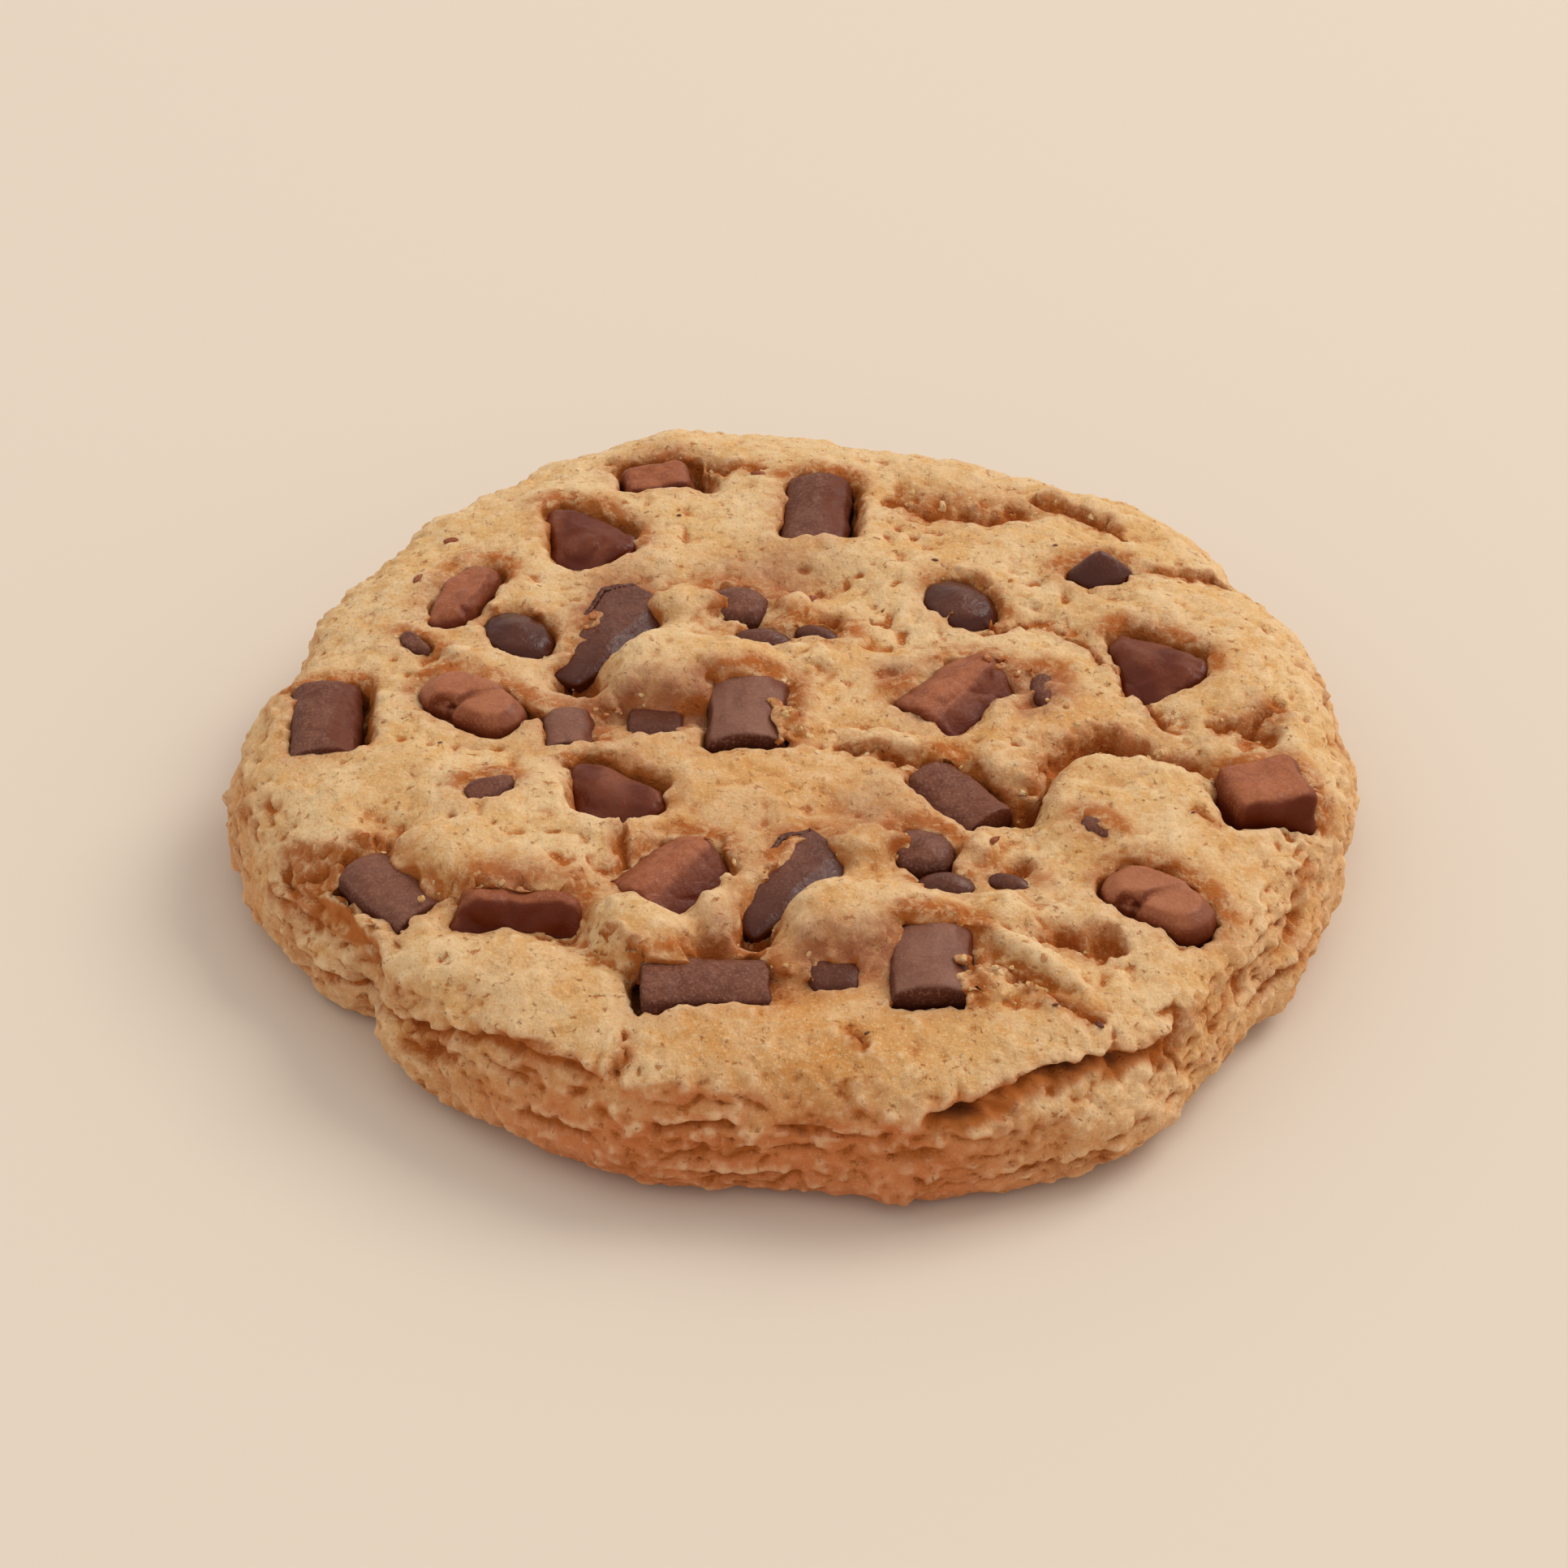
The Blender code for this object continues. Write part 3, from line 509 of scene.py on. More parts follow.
# Clods fused to the crust: x, y, height and half width; the first ones also occur twice.
twinClods = (
    (-1.2, -0.3, 14.2, 0.95), (-0.4, -1.4, 14.3, 0.85), (-1.0, -2.4, 14.1, 0.80), (0.5, -2.2, 13.7, 0.95),
    (-0.6, -3.6, 13.8, 0.90), (1.4, -3.2, 13.3, 0.90), (0.6, -4.3, 13.2, 0.80), (2.2, -2.2, 13.3, 0.80),
    (-1.3, -4.4, 13.6, 0.60), (1.2, -0.9, 13.5, 0.90), (-16.6, 10.2, 13.9, 0.50), (-16.2, 11.6, 14.0, 0.55),
    (-14.6, 2.2, 12.8, 0.70), (-13.9, 0.9, 12.7, 0.65), (-14.8, 0.2, 12.8, 0.60), (-13.2, -0.4, 12.6, 0.60),
)
clods = (
    (1.5, -29.9, 12.5, 0.6), (4.9, -29.9, 12.5, 0.6), (1.5, -32.2, 12.4, 0.6), (5.0, -32.2, 12.4, 0.55),
    (-12.7, 0.2, 12.6, 0.55), (-9.1, 0.3, 12.6, 0.6), (-12.6, -2.0, 12.6, 0.55), (-9.0, -1.9, 12.6, 0.5),
    (15.4, 5.6, 14.5, 0.60), (16.6, 4.4, 14.4, 0.75), (17.8, 3.9, 14.0, 0.65), (16.8, 6.2, 14.0, 0.60),
    (18.6, 5.2, 13.8, 0.55), (-5.0, -18.4, 14.2, 0.60), (-4.6, -20.2, 14.3, 0.70),
    (-6.2, -17.2, 14.0, 0.55), (-5.2, -21.6, 14.0, 0.75), (40.0, -10.0, 13.2, 0.65),
    (41.0, -8.4, 12.6, 0.80), (15.4, -34.4, 13.2, 0.90), (17.4, -33.6, 13.2, 0.80),
    (19.6, -34.6, 12.9, 0.70), (12.6, 12.8, 13.5, 0.60), (16.0, 12.4, 13.3, 0.50), (9.6, 29.8, 12.4, 0.70),
    (12.4, 28.8, 12.6, 0.60), (15.2, 29.2, 12.4, 0.75), (18.2, 28.4, 12.3, 0.60), (-20.6, 13.2, 13.5, 0.60),
    (-24.2, 14.0, 13.5, 0.55), (-26.3, -22.6, 13.0, 0.50), (-28.4, -22.4, 12.6, 0.45),
)

# Torn lines in the crust: points, width, depth, height of the lip, on the left of the line's run if above 0.
crustCracks = (
    (((17.6, -12.6), (18.9, -9.8), (20.2, -6.2), (21.6, -4.0), (24.2, -2.6), (27.2, -3.8), (30.0, -5.0),
      (33.6, -6.2)), 1.0, 1.5, 0.0),
    (((14.2, 11.0), (17.6, 12.2), (20.5, 12.4), (23.0, 10.2), (25.6, 6.2), (28.4, 1.2), (30.6, -2.4)),
     0.45, 0.8, -0.30),
    (((-41.0, -14.6), (-37.6, -16.2), (-34.8, -16.3), (-32.6, -15.4), (-31.0, -16.2)), 0.7, 1.1, 0.45),
    (((-30.6, -16.6), (-31.4, -14.8), (-32.4, -13.4)), 0.5, 0.9, 0.3),
    (((7.4, 30.6), (10.3, 29.6), (13.7, 29.0), (17.0, 28.6), (20.2, 28.6)), 1.5, 1.1, -0.3),
    (((19.6, 31.8), (22.6, 29.4), (25.2, 27.6), (28.4, 24.8)), 0.7, 0.8, 0.3),
    (((28.0, 20.6), (31.4, 20.2), (34.1, 21.0), (36.0, 19.4)), 0.5, 0.7, 0.3),
    (((3.0, -4.2), (7.8, -5.4), (12.0, -6.6)), 0.6, 1.2, 0.0),
    (((17.6, -27.4), (20.4, -27.3), (22.8, -27.6), (25.2, -28.4)), 1.0, 1.3, 0.35),
    (((14.0, -30.6), (17.4, -33.0), (20.6, -35.2), (23.2, -36.0)), 0.7, 1.0, 0.0),
    (((-27.0, -21.8), (-24.6, -22.6), (-21.4, -22.2), (-18.8, -23.6), (-15.6, -24.4)), 0.5, 0.8, 0.0),
    (((-14.9, -27.0), (-12.9, -29.6), (-10.8, -31.9)), 0.38, 0.9, 0.2),
    (((-13.2, -13.8), (-13.2, -17.2), (-12.6, -20.6)), 0.6, 0.9, 0.0),
    (((32.0, -1.0), (35.2, -1.2), (37.6, 0.6), (38.8, 2.2)), 0.9, 1.1, -0.3),
    (((29.8, -37.0), (30.4, -34.4), (31.8, -32.2), (33.6, -31.0)), 0.5, 0.8, 0.25),
    (((11.3, 16.9), (13.0, 17.9), (16.4, 17.0)), 0.4, 0.5, 0.3),
    (((30.4, -12.6), (33.0, -14.4), (34.6, -13.6)), 0.25, 0.3, 0.0),
    (((-9.0, 36.2), (-6.6, 35.4), (-3.4, 34.8), (-1.6, 34.9)), 0.45, 0.6, 0.0),
    (((-12.6, -36.2), (-12.2, -38.0), (-12.6, -39.6)), 0.4, 0.8, 0.0),
    (((3.8, -37.2), (4.8, -38.8), (4.6, -40.4)), 0.35, 0.4, 0.0),
)

# Hollows of the crust: x, y, radius, depth.
hollows = (
    (-16.8, 5.0, 1.7, 2.4), (-2.6, -26.2, 1.7, 2.4), (2.9, 12.4, 0.9, 2.0), (17.2, -19.2, 0.9, 2.0),
    (19.4, 1.7, 1.3, 1.3), (20.5, 4.7, 0.8, 0.7), (17.0, -11.6, 1.3, 1.5), (7.5, 5.8, 0.9, 0.8),
    (-7.2, 35.0, 1.5, 1.0), (37.2, -0.9, 1.6, 0.9), (-17.6, -19.4, 1.3, 0.45), (29.4, -26.4, 1.4, 1.0),
    (38.4, -13.3, 1.2, 1.2), (-18.2, -25.2, 1.6, 0.8), (-6.4, -28.8, 1.2, 1.4), (0.8, 6.9, 0.7, 0.5),
    (-36.6, -18.8, 2.6, 0.8), (-39.6, -17.2, 2.2, 0.7), (-33.6, -20.8, 1.8, 0.6),
    (15.2, -24.3, 0.7, 0.5), (35.2, -24.4, 0.9, 0.5), (8.6, 17.3, 0.8, 0.4), (23.4, -36.6, 0.4, 0.5),
)

# Cracks of the side: angle and height of points, width, depth, height of the lip above the gap.
sideCracks = (
    (((281, 8.6), (284, 8.8), (287, 9.1), (291, 9.8), (295, 10.3), (299, 10.1), (305, 9.3), (311, 8.2)),
     0.50, 2.1, 0.45),
    (((198, 7.4), (204, 7.8), (209, 7.7), (214, 7.2)), 0.42, 0.8, 0.35),
    (((217, 5.4), (222, 6.4), (227, 7.0), (233, 8.6), (239, 9.5), (247, 9.9), (252, 9.2)), 0.50, 0.9, 0.45),
    (((225, 5.2), (230, 5.9), (235, 6.6)), 0.55, 0.7, 0.20),
    (((240, 4.8), (246, 5.3), (251, 5.0)), 0.35, 0.6, 0.25),
    (((255, 7.0), (259, 7.5), (262, 7.9), (265, 7.6)), 0.30, 0.9, 0.40),
    (((267, 8.1), (270, 7.5), (274, 7.7), (279, 7.4)), 0.30, 0.9, 0.40),
    (((279, 6.2), (284, 6.3)), 0.40, 0.8, 0.20),
    (((209, 4.2), (214, 4.6), (219, 5.2)), 0.32, 0.7, 0.30),
    (((215, 10.6), (220, 11.4), (225, 11.9)), 0.32, 0.7, 0.40),
    (((311.5, 11.2), (310, 9.4), (308.5, 7.8), (310, 5.6)), 0.30, 0.8, 0.0),
    (((250.5, 11.9), (251.4, 11.0), (252.4, 9.9)), 0.30, 0.9, 0.0),
    (((318, 7.6), (320.5, 8.7), (323.5, 8.4)), 0.35, 0.6, 0.20),
    (((258, 3.6), (264, 3.3), (270, 3.6)), 0.28, 0.5, 0.20),
    (((286, 3.2), (294, 3.6), (302, 3.4)), 0.30, 0.5, 0.20),
    (((322, 5.0), (330, 5.6), (338, 5.2)), 0.32, 0.6, 0.25),
    (((344, 7.8), (354, 7.0), (362, 7.4)), 0.40, 0.8, 0.35),
    (((20, 8.4), (30, 7.6), (42, 8.0)), 0.40, 0.9, 0.40),
    (((52, 5.2), (64, 5.8), (76, 5.4)), 0.38, 0.8, 0.30),
    (((84, 8.2), (98, 7.6), (112, 8.0)), 0.42, 0.9, 0.40),
    (((120, 5.0), (132, 5.8), (144, 5.4)), 0.38, 0.8, 0.30),
    (((152, 8.4), (162, 7.8), (174, 8.2)), 0.40, 0.8, 0.35),
    (((180, 5.2), (188, 4.8), (196, 5.4)), 0.32, 0.6, 0.25),
)

# Hollows of the side: angle, height, half length, half height, depth.
sideHollows = (
    (333, 7.4, 3.2, 1.3, 0.9), (321.5, 7.4, 1.2, 0.9, 0.5), (230, 6.6, 3.4, 1.2, 0.6),
    (206, 6.6, 2.6, 1.0, 0.5), (276, 5.6, 2.0, 0.8, 0.4), (70, 6.6, 4.0, 1.4, 0.6),
    (160, 6.0, 4.0, 1.4, 0.6), (20, 5.4, 3.0, 1.2, 0.5),
)

# How far the outline swells out of the even round: angle and millimetres.
outlineSwell = (
    (0, -0.1), (9, -0.4), (20, 0.1), (60, 0.0), (130, 0.1), (137, 0.4), (145, 0.3), (152, 0.95), (160, 0.2),
    (180, 0.25), (190, 0.35), (199, 0.8), (208, 0.4), (216, 0.1), (223, 0.8), (230, 0.65), (236, 0.15),
    (243, 0.3), (251, 0.75), (259, 0.8), (266, 0.95), (270, 0.4), (276, 0.25), (281, 0.75), (286, 0.6),
    (294, 0.1), (300, 0.25), (305, 0.65), (311, 0.65), (317, 0.3), (324, 0.5), (333, 0.0), (341, -0.4),
    (350, 0.0), (360, -0.1),
)

# How brown the side is all the way round, with painted shade that is darkest on the front, away from the
# softbox: angle and share.
bakeAndShadeRound = (
    (0, 0.26), (60, 0.40), (120, 0.55), (180, 0.45), (205, 0.24), (225, 0.22), (236, 0.42), (247, 1.0),
    (283, 1.0), (292, 0.50), (298, 0.34), (312, 0.20), (335, 0.20), (360, 0.26),
)

# Places that baked to a warmer colour: x, y, radius, strength.
warmPlaces = (
    (-2.0, -8.0, 13.0, 0.55), (4.0, -16.0, 12.0, 0.55), (0.0, -38.0, 12.0, 0.95), (-18.0, -31.0, 9.0, 0.30),
    (18.0, -35.0, 9.0, 0.35), (-30.0, -18.0, 5.0, 0.5), (16.0, -4.0, 7.0, 0.6), (28.0, -25.0, 7.0, 0.4),
    (14.0, 28.0, 7.0, 0.45), (22.0, -2.0, 6.0, 0.6), (32.0, 8.0, 9.0, 0.2), (-38.0, -8.0, 7.0, 0.10),
    (-12.0, 18.0, 6.0, 0.2), (4.0, 8.0, 6.0, 0.25), (36.0, -18.0, 8.0, 0.4),
)

# Places wiped with melted chocolate, and on the near faces of lumps painted shade: x, y, radius, strength.
smearAndShadePlaces = (
    (-1.1, 19.3, 3.6, 0.75), (-4.6, 19.8, 2.6, 0.6), (-16.6, 3.0, 2.8, 0.65), (-17.0, -0.6, 2.8, 0.55),
    (5.8, -13.1, 3.6, 0.60), (-14.2, 17.3, 3.0, 0.9), (-11.2, 2.4, 2.0, 0.7), (-8.8, 2.4, 1.6, 0.75),
    (3.1, -28.8, 2.0, 0.7), (5.5, -28.8, 1.6, 0.75), (-16.4, 13.4, 2.0, 0.6), (17.6, 4.2, 2.4, 0.5),
    (7.6, 5.6, 1.8, 0.60), (20.2, 2.6, 2.2, 0.85), (18.9, 0.8, 2.0, 0.7), (-11.6, -4.4, 3.0, 0.20),
    (-11.4, 36.8, 2.0, 0.3), (-12.6, 1.7, 2.4, 0.85), (-9.6, 0.9, 2.4, 1.0), (-7.4, 0.9, 2.0, 1.0),
    (-7.4, 2.8, 1.2, 0.95), (1.7, -29.5, 2.4, 0.85), (4.7, -30.3, 2.4, 1.0), (6.9, -30.3, 2.0, 1.0),
    (6.9, -28.4, 1.2, 0.95), (-21.6, -22.2, 2.0, 0.55), (-17.2, -23.6, 1.6, 0.50), (-5.4, -26.6, 2.0, 0.65),
    (-2.0, -14.6, 2.6, 0.30), (15.6, -9.2, 1.4, 0.35), (-14.6, -1.8, 2.0, 0.25), (0.2, -31.4, 2.0, 0.35),
    (28.6, 11.8, 2.0, 0.25),
)


def chocolateTree():
    # all chocolate solids as one search tree, in millimetres
    spots, faces = [], []
    for name, obj in sorted(frame["nodes"].items()):
        if name == "dough":
            continue
        first = len(spots)
        spots += [v.co / mm for v in obj.data.vertices]
        faces += [[first + corner for corner in face.vertices] for face in obj.data.polygons]
    return BVHTree.FromPolygons(spots, faces)


def nearChocolate(tree, spots, reach):
    # distance to the nearest chocolate and the nearest point on it; past the reach the distance is the reach
    distance = np.full(len(spots), reach)
    target = spots.copy()
    for index in np.flatnonzero(spots[:, 2] > 6.0):
        found, _, _, away = tree.find_nearest(Vector(spots[index]), reach)
        if found is not None:
            distance[index] = away
            target[index] = found
    return distance, target


def drawIn(spots, edges, normals, tree, distance, target):
    # draws the dough against the chocolate, and at the rims a little way over its edges
    flatWay = (target - spots) * (1, 1, 0)
    length = np.linalg.norm(flatWay, axis=1)
    flatWay = flatWay / np.maximum(length, 1e-6)[:, None]
    ragged = 0.58 + 0.40 * grain(spots, 1.6, 11) + 0.45 * grain(spots, 0.8, 12)
    draw = np.clip(dough["lipReach"] - distance, 0, None) * dough["lipDraw"] * np.clip(ragged, 0.1, 1.2)
    draw *= ease(0.0, 0.12, length) * (1 - 0.5 * ease(0.1, 0.8, flatWay[:, 1]))
    moved = spots + flatWay * draw[:, None]
    down = Vector((0.0, 0.0, -1.0))
    lowest, over = dough["lipOver"]
    for index in np.flatnonzero((draw > 0.05) & (normals[:, 2] > 0.15)):
        x, y, z = moved[index]
        hit, _, _, _ = tree.ray_cast(Vector((x, y, dough["wellAbove"])), down)
        if hit is not None and lowest < z - hit.z < over:
            moved[index, 2] = hit.z + over
    return spots + relax(moved - spots, edges, 2, 0.6)


def closedCurve(points, samples=4):
    # a smooth closed line through the points
    points = np.array(points, float)
    share = np.arange(samples)[:, None] / samples
    pieces = []
    for index in range(len(points)):
        before, start, end, after = (points[(index + step) % len(points)] for step in (-1, 0, 1, 2))
        bend = 2 * before - 5 * start + 4 * end - after
        twist = 3 * (start - end) + after - before
        pieces.append(start + 0.5 * share * (end - before + share * (bend + share * twist)))
    return np.concatenate(pieces)


def lumpForm(outline, foot, crown, boxy, rise, rings=9):
    # a dome over an outline, closed below
    edge = closedCurve(outline)
    middle = edge.mean(axis=0)
    spots = []
    for ring in range(rings):
        reach = math.cos(0.5 * math.pi * ring / rings)
        flat = middle + (edge - middle) * reach
        height = foot + (crown - foot) * math.sqrt(1 - reach**boxy)
        lifted = height + (flat - middle) @ np.array(rise) * (height - foot) / (crown - foot)
        spots.append(np.column_stack([flat, lifted]))
    spots.append(np.array([[*middle, crown], [*middle, foot]]))
    count = len(edge)
    top, bottom = rings * count, rings * count + 1
    faces = []
    for here in range(count):
        after = (here + 1) % count
        for ring in range(rings - 1):
            low, high = ring * count, (ring + 1) * count
            faces.append((low + here, low + after, high + after, high + here))
        faces.append(((rings - 1) * count + here, (rings - 1) * count + after, top))
        faces.append((after, here, bottom))
    return np.concatenate(spots), faces


def lumpForms():
    # all lumps and clods of the crust as closed forms
    lumps = list(doughLumps) + list(twinLumps)
    balls = list(clods) + list(twinClods)
    dx, dy = twinShift
    for outline, foot, crown, boxy, rise in twinLumps:
        lumps.append((tuple((x + dx, y + dy) for x, y in outline), foot, crown - 0.1, boxy, rise))
    balls += [(x + dx, y + dy, z - 0.2, half) for x, y, z, half in twinClods]
    forms = [lumpForm(*lump) for lump in lumps]
    shapes, faces = crumbShapes(700)
    for number, (x, y, z, half) in enumerate(balls):
        stretched = shapes[number % len(shapes)] * (half, half * 0.85, half * 0.6)
        forms.append((stretched + (x, y, z), faces.tolist()))
    return forms


def joinForms(mesh, forms):
    spots = [readSpots(mesh)]
    faces = [list(face.vertices) for face in mesh.polygons]
    for formSpots, formFaces in forms:
        first = sum(len(part) for part in spots)
        spots.append(formSpots)
        faces += [[first + corner for corner in face] for face in formFaces]
    return meshOf("joined", np.concatenate(spots), faces)


def raggedness(spots, seed):
    # how far torn lines wander, in two directions
    (wide, far), (narrow, short) = dough["wobble"]
    return np.stack([
        grain(spots, wide, first) * far + grain(spots, narrow, first + 1) * short
        for first in (seed, seed + 2)
    ], axis=1)


def fadeEnds(along, share):
    # full along a line, and fading out over this share of it at both ends
    return ease(0.0, share, along) * (1 - ease(1 - share, 1.0, along))


def carveTop(spots, top, torn):
    # torn lines, ragged at their edges, with a lip on one side, and hollows
    flat = spots[:, :2] + raggedness(spots, 31)
    lift = np.zeros(len(spots))
    for index, (points, width, depth, lip) in enumerate(crustCracks):
        away, side, along = alongLine(flat, points)
        fade = fadeEnds(along, 0.12)
        uneven = 0.85 + 0.35 * grain(spots, 3.0, 60 + index) + 0.45 * grain(spots, 1.25, 160 + index)
        cut = (1 - ease(0.30 * width, 1.05 * width * np.maximum(uneven, 0.4), away)) * fade
        lift -= depth * cut * np.maximum(uneven, 0.15)
        raised = np.exp(-(((away - 1.7 * width) / (1.3 * width)) ** 2)) * (side * np.sign(lip) > 0)
        lift += abs(lip) * raised * fade
        torn += (cut + 0.7 * np.exp(-((away / (2.4 * width)) ** 2)) * fade) * top
    for x, y, radius, depth in hollows:
        away = np.hypot(flat[:, 0] - x, flat[:, 1] - y) / radius
        cut = np.exp(-(away**2))
        lift -= depth * cut
        torn += 0.5 * cut * top
    return lift * top


def carveSide(spots, side, torn):
    # cracks, hollows and thin splits of the side: how far each point moves outwards,
    # and how deep in a crack it lies, which the paint darkens as painted shade
    angle = np.degrees(np.arctan2(spots[:, 1], spots[:, 0]))
    perDegree = math.radians(dough["sideRadius"])
    ragged = raggedness(spots, 41) * dough["sideWobble"]
    push = np.zeros(len(spots))
    crevice = np.zeros(len(spots))
    for index, (points, width, depth, lip) in enumerate(sideCracks):
        start = points[0][0]
        arc = ((angle - start + 180) % 360 - 180) * perDegree
        flat = np.column_stack([arc, spots[:, 2]]) + ragged
        line = [((at - start) * perDegree, height) for at, height in points]
        away, over, along = alongLine(flat, line)
        fade = fadeEnds(along, 0.15)
        uneven = 0.8 + 0.45 * grain(spots, 2.6, 80 + index)
        cut = np.exp(-((away / width) ** 2)) * fade * uneven
        push -= depth * cut
        push += lip * np.exp(-(((away - 1.9 * width) / (1.5 * width)) ** 2)) * fade * (over > 0)
        torn += cut * side
        wider = np.exp(-((away / (1.5 * width)) ** 2)) * fade * uneven
        crevice = np.maximum(crevice, 2.2 * wider * ease(0.6, 2.0, depth) * side)
    for at, height, halfLength, halfHeight, depth in sideHollows:
        arc = ((angle - at + 180) % 360 - 180) * perDegree + ragged[:, 0]
        away = np.hypot(arc / halfLength, (spots[:, 2] + ragged[:, 1] - height) / halfHeight)
        push -= depth * (1 - ease(0.45, 1.15, away))
        torn += 0.3 * (1 - ease(0.5, 1.3, away)) * side
    # thin splits, short and broken
    for index, (spacing, amount) in enumerate(dough["splits"]):
        height = spots[:, 2] / spacing + 0.6 * grain(spots, 5.0, 90 + index)
        height += 0.35 * grain(spots, 1.6, 95 + index)
        split = np.exp(-((np.abs(height - np.round(height)) * spacing / dough["splitHalf"]) ** 2))
        stretched = spots * (0.6, 0.6, 1.3)
        broken = ease(0.10, 0.55, layers(stretched, 2.4, 100 + index, 2))
        push -= amount * split * broken
        torn += 0.9 * split * broken * side
    return push * side, crevice


def blobs(spots, places):
    # soft round places, the strongest one counting
    share = np.zeros(len(spots))
    for x, y, radius, strength in places:
        away = np.hypot(spots[:, 0] - x, spots[:, 1] - y) / radius
        share = np.maximum(share, strength * np.exp(-(away**2)))
    return share


# How the dough is painted: rounds of smoothing that part the fine shape from the broad one, and from which to
# which value each shade fades in: heights, depths, radii and distances to the chocolate in millimetres.
paint = {
    "fineRounds": 14, "broadRounds": 60, "slopeRounds": 12, "stainRounds": 8,
    "fineRelief": 2.8,                 # how strongly the finest bumps show
    "broadRelief": (-0.7, 0.15),       # the least and the most that broad ones add
    "tornRelief": 0.50,
    "flankSlope": (0.3, 0.8), "flankRadius": (34.0, 39.0), "flankRelief": 0.35,
    "wallAway": (0.9, 2.8), "wallSlope": (0.25, 0.75), "wallHeight": (6.0, 8.0), "wallRadius": (40.5, 43.0),
    "pocketDepth": (0.7, 2.6), "hollowDepth": (1.6, 3.2), "hollowHeight": (7.0, 9.0),
    "bakeRadius": (30.0, 38.0), "bakeSlope": (0.10, 0.90), "bakeHeight": (10.3, 13.6),
    "footHeight": (2.0, 7.5), "stainHeight": (7.0, 10.0),
    "haloReach": 1.9,
    "haloWay": (0.35, 0.93, 0.1),      # towards the far side of a piece, which takes painted shade
    "haloShare": (0.42, 0.95),         # the stain all round, and painted shade on that side
    "haloUneven": (2.6, 0.55),         # size and strength
    "tornStain": 0.85,
}


def paintDough(mesh, spots, edges, torn, crevice, distance, target):
    # colours follow the shape: painted highlight on crests, painted shade in hollows and on the walls of
    # pockets, and the browner side with painted shade round it
    smoothed = relax(spots, edges, paint["fineRounds"])
    broad = relax(smoothed, edges, paint["broadRounds"])
    normals = readNormals(mesh)
    broadNormals = relax(normals, edges, paint["slopeRounds"])
    reach = np.hypot(spots[:, 0], spots[:, 1])
    height, upward = spots[:, 2], normals[:, 2]
    # the relief marks crests for painted highlight and hollows for painted shade
    relief = np.einsum("ij,ij->i", spots - smoothed, normals) * paint["fineRelief"]
    relief += np.clip(np.einsum("ij,ij->i", smoothed - broad, normals), *paint["broadRelief"])
    relief -= paint["tornRelief"] * torn * ease(0.1, -0.2, relief)
    sideways = (1 - ease(*paint["flankSlope"], upward)) * ease(*paint["flankRadius"], reach)
    relief *= 1 - paint["flankRelief"] * sideways
    # painted shade on the walls of the pockets, at the bottom of hollows and in the side's cracks
    wall = (1 - ease(*paint["wallAway"], distance)) * (1 - ease(*paint["wallSlope"], upward))
    wall *= ease(*paint["wallHeight"], height) * (1 - ease(*paint["wallRadius"], reach))
    below = broad[:, 2] - height
    depth = ease(*paint["pocketDepth"], below) * wall
    depth = np.maximum(depth, ease(*paint["hollowDepth"], below) * ease(*paint["hollowHeight"], height))
    depth = np.maximum(depth, crevice)
    outer = ease(*paint["bakeRadius"], reach)
    sideBake = (1 - ease(*paint["bakeSlope"], broadNormals[:, 2])) * outer
    sideBake *= 1 - ease(*paint["bakeHeight"], height)
    footBake = (1 - ease(*paint["footHeight"], height)) * outer
    upper = ease(*paint["stainHeight"], height)
    smear = blobs(spots, smearAndShadePlaces) * upper
    # the crust round each piece is stained, and darker still on its far side as painted shade
    away = spots - target
    behind = away @ np.array(paint["haloWay"]) / np.maximum(np.linalg.norm(away, axis=1), 1e-3)
    allRound, farSideShade = paint["haloShare"]
    halo = np.exp(-((distance / paint["haloReach"]) ** 3)) * upper
    halo *= allRound + farSideShade * ease(-0.3, 0.5, behind)
    size, strength = paint["haloUneven"]
    halo *= 1.0 + strength * grain(spots, size, 21)
    # the same colour also spreads round the torn lines
    tornSpread = relax(torn[:, None], edges, paint["stainRounds"])[:, 0]
    halo = np.maximum(halo, paint["tornStain"] * ease(0.10, 0.8, tornSpread))
    around = np.interp(np.degrees(np.arctan2(spots[:, 1], spots[:, 0])) % 360, *zip(*bakeAndShadeRound))
    for name, values in {
        "relief": np.clip(relief, -1, 1),
        "pocketWall": np.clip(wall + depth, 0, 2),
        "sideBake": np.clip(sideBake * around, 0, 1),
        "footBake": np.clip(footBake * around, 0, 1),
        "smear": smear,
        "halo": np.clip(halo, 0, 0.95),
        "warm": blobs(spots, warmPlaces),
    }.items():
        setAttribute(mesh, name, values)


